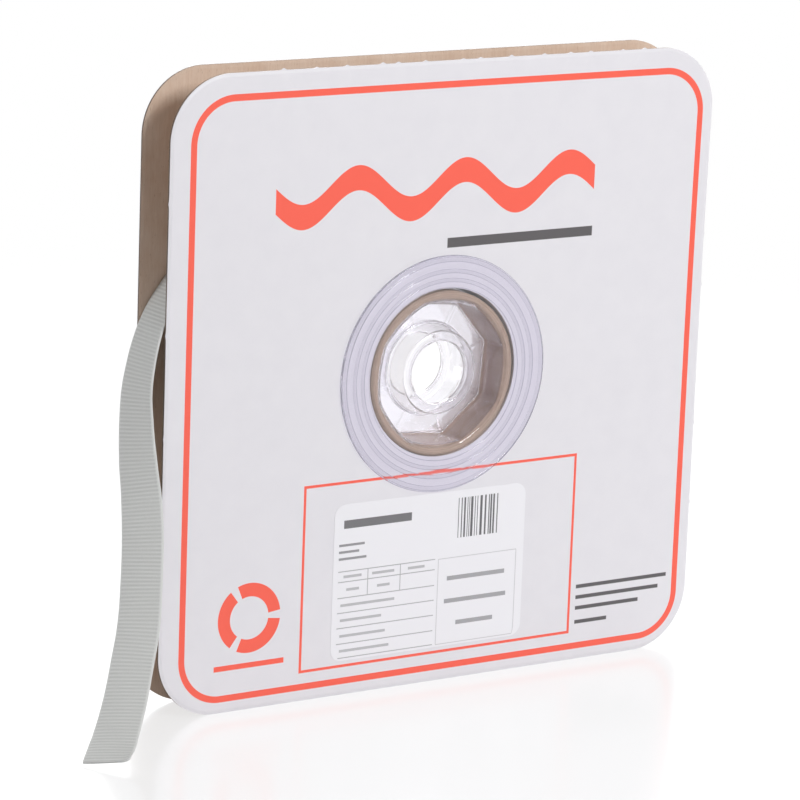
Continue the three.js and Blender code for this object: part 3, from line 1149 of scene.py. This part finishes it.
@dataclass
class TapeTail:
    """The tape's free end: it leaves the roll inside the reel, comes out at the left and hangs down.

    The route gives the strip's middle in millimetres and its twist in degrees, as the solid has them.
    """

    strip: TapeStrip
    roll: WoundTape
    start_gap: float = 0.3
    start_lift: float = 0.72
    lift_reach: float = 25.0
    step: float = 0.22
    path_step: float = 3.0
    fine_points: int = 6000
    end_corner: float = 3.0
    end_reach: float = 9.0
    end_cup: float = 0.6
    crown: float = 0.5
    crown_reach: float = 40.0
    route: tuple[tuple[float, float, float, float], ...] = (
        (-46, 0, 222, 0),
        (-57, 0, 217.3, 0),
        (-79, 0, 206.3, 0),
        (-99, 0, 191.9, 0),
        (-115, 0, 174.8, 0.5),
        (-126.8, 0, 158, 1.5),
        (-133.5, -0.9, 134, -6.5),
        (-135, -3.2, 119, -13.8),
        (-135.5, -6.3, 104, -21),
        (-135.8, -10.2, 90, -25.5),
        (-137.4, -14.7, 75, -26.7),
        (-140, -19, 59.5, -26),
        (-143.6, -24, 45, -26.3),
        (-149, -29.1, 31.3, -25.3),
        (-155.3, -35.4, 19.3, -23.6),
        (-163.2, -43.2, 9.5, -20.6),
        (-172.2, -52.6, 2.5, -15.7),
    )
    hold_start: tuple[float, float, float] = (-60, 0, 215)
    hold_end: tuple[float, float, float] = (-128, 0, 155)

    def root(self) -> Array:
        """Where the free end starts: just past the end of the outer turn, on its tangent.

        Returns:
            The point in millimetres.
        """
        angle = math.radians(self.roll.leaving_angle)
        around = np.array([math.cos(angle), 0, math.sin(angle)])
        onward = np.array([-math.sin(angle), 0, math.cos(angle)])
        return roll_middle() + around * self.roll.leaving_radius + onward * self.start_gap

    def stations(self) -> tuple[Array, Array, Array, Array, Array]:
        """Even stations along the route.

        The level direction is +Y made square to the curve, and the strip's across direction is the
        level one turned about the curve by the twist. The start is lifted a little, so that the end of
        the outer turn passes under it when the roll turns.

        Returns:
            The middle points, the tangents, the across and outward directions and the distances along.
        """
        route = np.array(self.route, dtype=float)
        points = np.vstack([self.root(), route[:, :3]])
        twists = np.radians(np.concatenate([[0], route[:, 3]]))
        places = np.linspace(0, len(points) - 1, self.fine_points)
        fine = curve_through(points, places)
        run = distance_along(fine)
        along = np.linspace(0, run[-1], round(run[-1] / self.step))
        places = np.interp(along, run, places)
        middle = curve_through(points, places)
        tangent = np.gradient(middle, axis=0)
        tangent /= np.linalg.norm(tangent, axis=1)[:, None]
        twist = np.interp(places, np.arange(len(points)), twists)[:, None]
        level = np.array([0, 1, 0]) - tangent * tangent[:, 1:2]
        level /= np.linalg.norm(level, axis=1)[:, None]
        across = level * np.cos(twist) + np.cross(tangent, level) * np.sin(twist)
        outward = -np.cross(tangent, across)
        lift = self.start_lift * (1 - ramp(along, 0, self.lift_reach))
        return middle + outward * lift[:, None], tangent, across, outward, along

    def build(self, material: bpy.types.Material) -> None:
        """Args:
            material: The tape's material.
        """
        middle, tangent, across, outward, along = self.stations()
        points, places = self.strip.surface(middle, across, outward, along)
        near_end = ramp(along, along[-1] - self.end_reach, along[-1])[:, None]
        side = places[:, :, 0]
        inset = np.clip(-side - (self.strip.width / 2 - self.end_corner), 0, self.end_corner)
        cut = self.end_corner - np.sqrt(self.end_corner ** 2 - inset ** 2)
        cup = self.end_cup * (2 * side / self.strip.width) ** 2
        points -= tangent[:, None] * (cut * near_end)[:, :, None]
        crown = self.crown * ramp(along, 0, self.crown_reach)[:, None] * (2 * side / self.strip.width) ** 2
        points += outward[:, None] * (cup * near_end - crown)[:, :, None]
        tail = self.strip.piece("tape_free_end", points, places)
        tail.data.materials.append(material)
        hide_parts("tape_tail")
        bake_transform(tail)
        log.info("tape_free_end: %.0f mm long", along[-1])


@dataclass
class Flange:
    """One square flange of corrugated board: a printed liner, a fluted middle and a kraft liner."""

    side: Side
    corner_radius: float = 26.0
    hole_radius: float = 34.4
    hole_above_middle: float = 1.5
    outline_points: int = 2000
    rings: int = 12
    flute_paper: float = 0.22
    flute_steps: int = 8
    flute_play: float = 0.08
    crush: float = 0.3
    crush_reach: float = 1.5
    crush_rings: int = 6
    band_share: float = 1.5
    nub_height: float = 0.8
    nub_width: float = 0.9
    top_nub_spacing: float = 13.0
    side_nub_spacing: float = 46.0
    side_nub_share: float = 0.5
    nub_places: tuple[float, float] = (0.2, 0.8)
    nub_sizes: tuple[float, float] = (0.4, 1.0)
    nub_seed: int = 5
    curl: float = 0.0

    @property
    def body(self) -> Body:
        """The body of this flange."""
        return Body.FRONT_FLANGE if self.side is Side.FRONT else Body.REAR_FLANGE

    @property
    def edge_band(self) -> float:
        """Width of the finely divided band along the cut edge, which takes in all that is crushed."""
        return self.band_share * self.crush_reach

    def outline(self, layer: Liner) -> Array:
        """The cut edge of the board, as X and Z from the flange's middle.

        The outline is a square with round corners, taken at even steps along its edge: a straight and
        an arc, turned by a quarter four times. Small torn nubs, bell curves along the edge, stand out
        of the printed liner where the board was held in its sheet.

        Args:
            layer: Which of the two liners.

        Returns:
            The points in order, two numbers each.
        """
        _, (half, _, _) = node_middle(f"{self.side.word}_outer_liner")
        straight = 2 * (half - self.corner_radius)
        quarter = straight + self.corner_radius * math.pi / 2
        run = np.linspace(0, 4 * quarter, self.outline_points, endpoint=False)
        turn = np.floor(run / quarter)
        rest = run - turn * quarter
        angle = np.clip((rest - straight) / self.corner_radius, 0, None)
        normal = np.stack([np.cos(angle), np.sin(angle)], axis=1)
        core = np.array([straight / 2, straight / 2])
        place = core + self.corner_radius * normal
        on_straight = rest < straight
        place[on_straight, 1] = rest[on_straight] - straight / 2
        normal[on_straight] = (1, 0)
        if layer is Liner.OUTER:
            place += normal * self.nubs(run, quarter)[:, None]
        spin = turn * math.pi / 2
        x = place[:, 0] * np.cos(spin) - place[:, 1] * np.sin(spin)
        z = place[:, 0] * np.sin(spin) + place[:, 1] * np.cos(spin)
        return np.stack([x, z], axis=1)

    def nubs(self, run: Array, quarter: float) -> Array:
        """How far the torn nubs stand out along the edge: close on top, sparse at the sides, none below.

        Each nub is a bell curve, at a place and of a height that are drawn at random.

        Args:
            run: Distances along the edge.
            quarter: Length of a quarter of the edge.

        Returns:
            The height at each distance.
        """
        random = np.random.default_rng(self.nub_seed + self.side.value)
        height = np.zeros_like(run)
        for turn in range(3):
            spacing = self.top_nub_spacing if turn == 1 else self.side_nub_spacing
            count = int((quarter - 2 * self.corner_radius) / spacing)
            places = turn * quarter + spacing * (np.arange(count) + random.uniform(*self.nub_places, count))
            tallest = self.nub_height * (1 if turn == 1 else self.side_nub_share)
            sizes = tallest * random.uniform(*self.nub_sizes, count)
            bells = np.exp(-((run[:, None] - places) / self.nub_width) ** 2)
            height += (bells * sizes).sum(axis=1)
        return height

    def lift(self, x: Array, z: Array, half: float) -> Array:
        """How far the board stands out of its plane: the squares of the shares of both ways to a corner."""
        return self.curl * (np.clip(x / half, 0, 1) * np.clip(z / half, 0, 1)) ** 2

    def crushed(self, x: Array, z: Array, half: float) -> Array:
        """How far the die has crushed the board: all of it at the cut edge, and none within its reach.

        The distance to the edge is that of a square with round corners.

        Args:
            x: Places across, from the flange's middle.
            z: Places up, from the flange's middle.
            half: Half the flange's side.

        Returns:
            How far each liner is pressed in.
        """
        past_x = np.abs(x) - (half - self.corner_radius)
        past_z = np.abs(z) - (half - self.corner_radius)
        corner = np.hypot(np.clip(past_x, 0, None), np.clip(past_z, 0, None))
        inside = np.clip(np.maximum(past_x, past_z), None, 0)
        depth = self.corner_radius - corner - inside
        return self.crush * (1 - ramp(depth, 0, self.crush_reach))

    def liner(self, layer: Liner) -> bpy.types.Object:
        """One liner: rings from the hole's edge out to the crushed cut edge, and back behind.

        Args:
            layer: Which of the two liners.

        Returns:
            The liner, with face attributes that are 1 on its outer face and on its cut edges.
        """
        name = f"{self.side.word}_{layer.value}"
        low, high = node_box(name)
        middle = (low + high) / 2
        half = (high[0] - low[0]) / 2
        edge = self.outline(layer)
        away = edge - np.array([0, self.hole_above_middle])
        hole = away / np.linalg.norm(away, axis=1)[:, None] * self.hole_radius
        hole += np.array([0, self.hole_above_middle])
        span = edge - hole
        length = np.linalg.norm(span, axis=1)[:, None]
        kept = 1 - self.edge_band / length
        wide = np.linspace(0, 1, self.rings)[:, None, None] * kept
        fine = kept + np.linspace(0, 1, self.crush_rings + 1)[1:, None, None] * (1 - kept)
        face = hole + span * np.concatenate([wide, fine])
        x = face[:, :, 0]
        z = face[:, :, 1]
        inwards = -1 if layer is Liner.OUTER else 1
        lifted = self.side.value * (self.lift(x, z, half) + inwards * self.crushed(x, z, half))
        outside = max(low[1], high[1], key=lambda y: y * self.side.value)
        inside = low[1] + high[1] - outside
        outer = np.stack([x, outside + lifted, z + middle[2]], axis=-1)
        inner = np.stack([x, inside + lifted, z + middle[2]], axis=-1)
        points = np.concatenate([outer, inner[::-1]])
        rows, columns = points.shape[:2]
        piece = put_mesh(f"{name}_sheet", points, grid_quads(rows, columns, True, True))
        coat = np.zeros((rows, columns))
        coat[:rows // 2 - 1] = 1
        put_attribute(piece, "coat", coat.ravel(), Domain.FACE)
        cut = np.zeros((rows, columns))
        cut[[rows // 2 - 1, rows - 1]] = 1
        put_attribute(piece, "cut", cut.ravel(), Domain.FACE)
        return piece

    def fluting(self) -> bpy.types.Object:
        """The fluted middle paper: a cosine wave across X, cut to the outline and the hole.

        It is made as an upper and a lower closed sheet that meet at the hole's height. The wave fills
        the room between the liners, less some play, and goes flat where the edge is crushed.

        Returns:
            The fluting.
        """
        name = f"{self.side.word}_fluting"
        low, high = node_box(name)
        middle = (low + high) / 2
        half = (high[0] - low[0]) / 2 - self.flute_paper
        count = round(2 * half / FLUTE_PITCH * self.flute_steps)
        x = np.linspace(-half, half, count)
        room = (high[1] - low[1] - self.flute_paper) / 2 - self.flute_play
        wave = np.cos(TURN * x / FLUTE_PITCH)[:, None]
        over = np.clip(np.abs(x) - (half - self.corner_radius), 0, self.corner_radius)
        top = half - self.corner_radius + np.sqrt(self.corner_radius ** 2 - over ** 2)
        rise = np.sqrt(np.clip(self.hole_radius ** 2 - x ** 2, 0, None))
        rows = self.rings + self.crush_rings
        paper = np.repeat([-0.5, 0.5], rows) * self.flute_paper
        sheets = []
        for sign in (1, -1):
            start = self.hole_above_middle + sign * (rise + self.flute_play)
            bend = sign * (top - self.edge_band)
            wide = np.linspace(start, bend, self.rings, axis=1)
            fine = np.linspace(bend, sign * top, self.crush_rings + 1, axis=1)[:, 1:]
            z = np.concatenate([wide, fine, fine[:, ::-1], wide[:, ::-1]], axis=1)
            across = np.broadcast_to(x[:, None], z.shape)
            swing = np.clip(room - self.crushed(across, z, half + self.flute_paper), 0, None)
            y = middle[1] + swing * wave + paper + self.side.value * self.lift(across, z, half)
            sheets.append(np.stack([across, y, z + middle[2]], axis=-1))
        ring = 2 * rows
        upper = closed_quads(count, ring)
        lower = upper[:, ::-1] + count * ring
        piece = put_mesh(f"{name}_sheet", np.stack(sheets), np.concatenate([upper, lower]))
        near_end = ramp(np.abs(x), half - FLUTE_PITCH, half - FLUTE_PITCH / 2)
        cut = np.repeat(np.tile(near_end, 2), ring)
        put_attribute(piece, "cut", cut, Domain.POINT)
        return piece

    def build(self, coat: CoatedBoard, kraft: KraftPaper) -> None:
        """Makes the three papers of the board.

        Args:
            coat: The printed liner's finish.
            kraft: The finish of the other two papers.
        """
        side = self.side.word
        white = coat.material()
        brown = kraft.material()
        dress(self.liner(Liner.OUTER), white, self.body, f"{side}_outer_liner")
        dress(self.fluting(), brown, self.body, f"{side}_fluting")
        dress(self.liner(Liner.INNER), brown, self.body, f"{side}_inner_liner")


@dataclass
class ProductLabel:
    """The paper label: a thin sheet with a ruled blank form, plain bars and a block of uneven bars.

    The plain bars come in groups of one thickness and ink, each bar with its left, right and middle height.
    """

    corner_radius: float = 5.0
    corner_points: int = 7
    line: float = 0.38
    row_ink: float = 0.55
    column_ink: float = 0.5
    form_ink: float = 0.3
    bar_ink: float = 0.9
    bar_widths: tuple[float, ...] = (0.35, 0.5, 0.8, 1.1)
    bar_draws: int = 60
    bar_seed: int = 11
    table_left: float = -46.0
    table_right: float = 0.0
    rows: tuple[float, ...] = (51.2, 46.9, 40.3, 34.1, 27.8, 21.3, 15.4)
    columns: tuple[float, ...] = (-32.0, -16.6)
    form: tuple[float, float, float, float] = (1.6, 39.4, 15.2, 51.0)
    block: tuple[float, float, float, float] = (10.0, 31.0, 59.0, 75.6)
    plain: tuple = (
        (3.4, 0.85, ((-44, -12, 70.5),)),
        (1.0, 0.7, ((-46, -34, 62), (-46, -36.5, 59.2), (-46, -33, 56.4))),
        (1.1, 0.45, ((-43.5, -35, 49), (-30, -19.5, 49), (-13, -5, 49))),
        (1.1, 0.45, ((-42, -36, 43.6), (-27.5, -21.5, 43.6))),
        (1.1, 0.45, ((-44.5, -19, 37.2), (-44.5, -25, 31), (-44.5, -23, 24.5), (-44.5, -21, 18.3))),
        (1.8, 0.6, ((6, 34, 42.5), (5, 35, 33), (11, 29, 23.5))),
    )

    def ink_boxes(self) -> list[tuple[float, float, float, float, float]]:
        """All that is printed: the ruled lines, the plain bars and the block of bars.

        Returns:
            For each box its left, right, bottom, top and darkness.
        """
        half = self.line / 2
        left, right, bottom, top = self.form
        boxes = [(self.table_left, self.table_right, z - half, z + half, self.row_ink) for z in self.rows]
        boxes += [(x - half, x + half, self.rows[2], self.rows[0], self.column_ink) for x in self.columns]
        boxes += [(left, right, z - half, z + half, self.form_ink) for z in (bottom, top)]
        boxes += [(x - half, x + half, bottom, top, self.form_ink) for x in (left, right)]
        boxes += self.plain_bars()
        boxes += self.block_bars()
        return boxes

    def plain_bars(self) -> list[tuple[float, float, float, float, float]]:
        """The plain bars in their groups.

        Returns:
            Their boxes, as ink_boxes gives them.
        """
        return [
            (x0, x1, z - size / 2, z + size / 2, ink)
            for size, ink, bars in self.plain
            for x0, x1, z in bars
        ]

    def block_bars(self) -> list[tuple[float, float, float, float, float]]:
        """The block of upright bars, of uneven widths and gaps.

        Returns:
            Their boxes, as ink_boxes gives them.
        """
        left, right, bottom, top = self.block
        random = np.random.default_rng(self.bar_seed)
        edges = left + np.cumsum(random.choice(self.bar_widths, self.bar_draws))
        edges = edges[edges < right]
        edges = edges[:len(edges) // 2 * 2]
        return [(a, b, bottom, top, self.bar_ink) for a, b in zip(edges[::2], edges[1::2])]

    def build(self, material: bpy.types.Material) -> None:
        """Makes the label: a grid whose lines lie on the edges of the print, front and back.

        Near a corner the points past the corner's start are drawn in to the arc.

        Args:
            material: The label's material.
        """
        low, high = node_box("product_label")
        boxes = np.array(self.ink_boxes())
        radius = self.corner_radius
        arc = radius * (1 - np.cos(np.linspace(0, math.pi / 2, self.corner_points)))
        x = np.unique(np.concatenate([boxes[:, 0], boxes[:, 1], low[0] + arc, high[0] - arc]).round(3))
        z = np.unique(np.concatenate([boxes[:, 2], boxes[:, 3], low[2] + arc, high[2] - arc]).round(3))
        grid_x, grid_z = np.meshgrid(x, z)
        past = np.clip(np.maximum(low[2] + radius - grid_z, grid_z - high[2] + radius), 0, radius)
        draw_in = radius - np.sqrt(radius ** 2 - past ** 2)
        from_left = np.clip(1 - (grid_x - low[0]) / radius, 0, 1)
        from_right = np.clip(1 - (high[0] - grid_x) / radius, 0, 1)
        drawn = grid_x + draw_in * (from_left - from_right)
        front = np.stack([drawn, np.full_like(drawn, low[1]), grid_z], axis=-1)
        back = np.stack([drawn, np.full_like(drawn, high[1]), grid_z], axis=-1)
        rows, columns = drawn.shape
        face = grid_quads(rows, columns)
        number = np.arange(rows * columns).reshape(rows, columns)
        rim = np.concatenate([number[0], number[1:, -1], number[-1, -2::-1], number[-2:0:-1, 0]])
        after = np.roll(rim, -1)
        behind = rows * columns
        sides = np.stack([rim, rim + behind, after + behind, after], axis=-1)
        quads = np.concatenate([face, face[:, ::-1] + behind, sides])
        piece = put_mesh("paper_label", np.stack([front, back]), quads)
        ink = np.zeros(len(quads))
        middle_x = (grid_x[:-1, :-1] + grid_x[1:, 1:]).ravel() / 2
        middle_z = (grid_z[:-1, :-1] + grid_z[1:, 1:]).ravel() / 2
        for x0, x1, z0, z1, dark in boxes:
            inside = (middle_x > x0) & (middle_x < x1) & (middle_z > z0) & (middle_z < z1)
            ink[:len(face)][inside] = dark
        put_attribute(piece, "ink", ink, Domain.FACE)
        dress(piece, material, Body.FRONT_FLANGE, "product_label")


@dataclass
class Octagon:
    """A soft-cornered octagon round the roll's axis."""

    corners: int = 8
    corner_turn: float = 17.5
    sharpness: float = 110.0

    def radius(self, corner_radius: Array, angle: Array) -> Array:
        """Radius at an angle for a corner radius.

        It is the flats' distance over a high-power mean of the cosines of the angles to the flats, so
        that it is straight on a flat and turns softly at a corner.

        Args:
            corner_radius: Radius at the sharp corner.
            angle: Angle round the axis.

        Returns:
            The radius.
        """
        step = TURN / self.corners
        flats = math.radians(self.corner_turn) + step * (np.arange(self.corners) + 0.5)
        facing = np.clip(np.cos(angle[..., None] - flats), 0, None)
        mean = (facing ** self.sharpness).sum(axis=-1) ** (1 / self.sharpness)
        return corner_radius * math.cos(step / 2) / mean

    def nearness(self, angle: Array, radius: Array, width: float) -> Array:
        """Bell curve across the line to the nearest corner.

        Args:
            angle: Angle round the axis.
            radius: Radius at that angle.
            width: The curve's width in millimetres.

        Returns:
            1 on the line to a corner, falling to 0 beside it.
        """
        step = TURN / self.corners
        off = (angle - math.radians(self.corner_turn) + step / 2) % step - step / 2
        return np.exp(-((off * radius) / width) ** 2)


@dataclass
class CoreTube:
    """The cardboard core: a tube whose bore the hubs' cups have pressed to a very round octagon."""

    octagon: Octagon
    bore_radius: float = 30.6
    bore_octagon: float = 0.35
    steps: int = 480
    plies: int = 9
    ply_relief: float = 0.07
    edge: float = 0.9
    body_rows: int = 7

    def build(self, material: bpy.types.Material) -> None:
        """Makes the tube: a closed profile carried round the axis.

        The bore's radius lies between a circle and an octagon. On each end the plies stand a little
        proud by turns, and the edges are crushed to a slope.

        Args:
            material: The tube's material.
        """
        centre, (outside, half, _) = node_middle("core_tube")
        angle = np.linspace(0, TURN, self.steps, endpoint=False)
        bore = self.bore_radius * (1 - self.bore_octagon)
        bore = bore + self.octagon.radius(self.bore_radius, angle) * self.bore_octagon
        share = np.linspace(0, 1, 2 * self.plies)
        set_back = np.tile([0.0, 0.0, 1.0, 1.0], self.plies)[:2 * self.plies] * self.ply_relief
        from_edge = np.minimum(share, 1 - share) * (outside - self.bore_radius)
        end = half - np.maximum(set_back, self.edge - from_edge)
        body = np.linspace(-1, 1, self.body_rows + 2)[1:-1] * (half - self.edge)
        shares = np.concatenate([share, np.ones_like(body), share[::-1], np.zeros_like(body)])
        depth = np.concatenate([-end, body, end[::-1], body[::-1]])
        radius = bore + (outside - bore) * shares[:, None]
        y = np.broadcast_to(depth[:, None], radius.shape)
        points = np.stack([radius * np.cos(angle), y, radius * np.sin(angle)], axis=-1)
        quads = grid_quads(len(depth), self.steps, True, True)
        piece = put_mesh("cardboard_core", points + centre, quads, sharp_angle=30)
        dress(piece, material, Body.ROLL, "core_tube")


@dataclass
class Hub:
    """One clear hub: a terraced rim over the flange, an octagonal cup in the core and a boss.

    The terraces are the rim's raised rings, each from its outer to its inner distance from the edge.
    """

    side: Side
    octagon: Octagon
    wall: float = 0.7
    terraces: tuple[tuple[float, float], ...] = ((0.0, 0.95), (2.3, 5.8), (6.9, 9.5), (10.5, 13.2))
    terrace_height: float = 0.45
    terrace_slope: float = 0.4
    # Steepness at which the rim's painted shade starts and is full, and the painted shade of its grooves
    riser_start: float = 0.4
    riser_full: float = 0.65
    groove_painted_shade: float = 0.35
    groove_margin: float = 0.05
    cup_corner: float = 30.5
    cup_taper: float = 0.6
    mouth_octagon: float = 0.35
    mouth_flare: float = 1.7
    mouth_round: float = 0.3
    bend: float = 0.8
    bore_radius: float = 12.7
    boss_top_width: float = 4.5
    boss_taper: float = 1.4
    boss_top_depth: float = 1.9
    boss_lip: float = 2.7
    seat_gap: float = 0.03
    floor_gap: float = 0.15
    crease: float = 0.22
    crease_width: float = 0.5
    wall_bead: float = 0.3
    corner_reach: float = 0.55
    corner_steps: int = 5
    steps: int = 480

    def profile(self, rim: float, deep: float) -> Array:
        """The hub's section, from the rim in to the bore's lip over the shown face and back behind.

        Args:
            rim: The rim's radius.
            deep: The depth from the end of the core to the middle of the reel.

        Returns:
            For each point the radius, the depth from the end of the core, how octagonal it is, and how
            much of the floor's creases and of the wall's corner beads it takes.
        """
        under = deep - self.floor_gap
        floor = under - self.wall
        cup = self.cup_corner - self.wall / math.cos(math.pi / self.octagon.corners)
        low_cup = cup - self.cup_taper
        low_outside = self.cup_corner - self.cup_taper
        boss = self.bore_radius + self.boss_top_width
        foot = boss + self.boss_taper
        lip = self.boss_top_depth + self.boss_lip
        seat = -self.seat_gap
        face = seat - self.wall
        bend = self.bend
        mouth = self.mouth_octagon
        flare = self.mouth_flare
        corners = []
        for outer, inner in self.terraces:
            corners.append((rim - outer, face, 0, 0, 0))
            corners.append((rim - outer - self.terrace_slope, face - self.terrace_height, 0, 0, 0))
            corners.append((rim - inner + self.terrace_slope, face - self.terrace_height, 0, 0, 0))
            corners.append((rim - inner, face, 0, 0, 0))
        corners += [
            (cup + flare, face, mouth, 0, 0),
            (cup + self.mouth_round * flare, face + self.mouth_round * flare, mouth, 0, 0),
            (cup, face + flare, mouth, 0, 1),
            (low_cup, floor - bend, 1, 0, 1),
            (low_cup - bend, floor, 1, 1, 0),
            (foot + bend, floor, 0, 1, 0),
            (foot, floor - bend, 0, 0, 0),
            (boss, self.boss_top_depth + bend, 0, 0, 0),
            (boss - bend, self.boss_top_depth, 0, 0, 0),
            (self.bore_radius + bend, self.boss_top_depth, 0, 0, 0),
            (self.bore_radius, self.boss_top_depth + bend, 0, 0, 0),
            (self.bore_radius, lip, 0, 0, 0),
            (self.bore_radius + self.wall, lip, 0, 0, 0),
            (self.bore_radius + self.wall, self.boss_top_depth + self.wall, 0, 0, 0),
            (boss - self.wall, self.boss_top_depth + self.wall, 0, 0, 0),
            (foot - self.wall, under, 0, 0, 0),
            (low_outside - bend, under, 1, 0, 0),
            (low_outside, under - bend, 1, 0, 0),
            (self.cup_corner, seat + flare / 2, mouth, 0, 0),
            (self.cup_corner + flare / 2, seat, mouth, 0, 0),
            (rim, seat, 0, 0, 0),
        ]
        return soft_corners(np.array(corners, dtype=float), self.corner_reach, self.corner_steps)

    def painted_rim_shade(self, section: Array) -> Array:
        """Painted shade of the rim: 1 on its steep faces, less in the grooves between its terraces, else 0.

        A face is steep by the share of depth in a step along the section. A groove lies within a small
        margin of the depth of the rim's face, and outside the start of the innermost terrace.

        Args:
            section: The points of the profile.

        Returns:
            One number for each point.
        """
        radius, depth = section[:, 0], section[:, 1]
        step = np.gradient(section[:, :2], axis=0)
        steep = np.abs(step[:, 1]) / np.linalg.norm(step, axis=1)
        on_rim = radius > self.cup_corner + self.mouth_flare
        face = -self.seat_gap - self.wall
        groove = (np.abs(depth - face) < self.groove_margin) & (radius > radius.max() - self.terraces[-1][0])
        return on_rim * np.maximum(ramp(steep, self.riser_start, self.riser_full), groove * self.groove_painted_shade)

    def build(self, material: bpy.types.Material) -> None:
        """Makes the hub: the section carried round the axis, octagonal where it says.

        Args:
            material: The hub's material.
        """
        node = f"hub_{self.side.word}"
        _, (rim, _, _) = node_middle(node)
        centre, (_, deep, _) = node_middle("core_tube")
        section = self.profile(rim, deep)
        angle = np.linspace(0, TURN, self.steps, endpoint=False)
        size, depth, octagonal, creased, beaded = (section[:, i][:, None] for i in range(5))
        radius = size * (1 - octagonal) + self.octagon.radius(size, angle[None, :]) * octagonal
        corner_line = self.octagon.nearness(angle[None, :], radius, self.crease_width)
        radius = radius - self.wall_bead * beaded * corner_line
        y = self.side.value * (deep - depth + self.crease * creased * corner_line)
        points = np.stack([radius * np.cos(angle), y, radius * np.sin(angle)], axis=-1)
        quads = grid_quads(len(section), self.steps, True, True)
        piece = put_mesh(f"clear_{node}", points + centre, quads, sharp_angle=60)
        # Painted shade on the rim's steep faces and grooves, which the plastic's tint reads
        put_attribute(piece, "riser", np.repeat(self.painted_rim_shade(section), self.steps), Domain.POINT)
        dress(piece, material, Body.ROLL, node)


def main() -> None:
    """Builds the camera, the tape's free end, the rest of the reel and the studio."""
    logging.basicConfig(level=logging.INFO, format="%(name)s: %(message)s")
    PhotoCamera().build()
    strip = TapeStrip()
    wound = WoundTape()
    tape = LoopTape("grey_loop_pile_nylon", strip).material()
    TapeTail(strip, wound).build(tape)
    wound.build(tape)
    front_coat = CoatedBoard("clay_coated_board_front", Side.FRONT)
    Flange(Side.FRONT, curl=2.0).build(front_coat, KraftPaper("kraft_liner_paper_front"))
    rear_coat = CoatedBoard("clay_coated_board_rear", Side.REAR)
    # The rear's cut edges keep a pale brown, without the front's painted shade
    rear_kraft = KraftPaper("kraft_liner_paper_rear", cut="#a8958a")
    Flange(Side.REAR, nub_height=0.0).build(rear_coat, rear_kraft)
    ProductLabel().build(LabelPaper("thermal_label_paper").material())
    octagon = Octagon()
    CoreTube(octagon).build(CoreBoard("spiral_wound_core_board").material())
    clear = ClearPolystyrene("clear_moulded_polystyrene").material()
    for side in Side:
        Hub(side, octagon).build(clear)
    Studio().build()


if __name__ == "__main__":
    main()
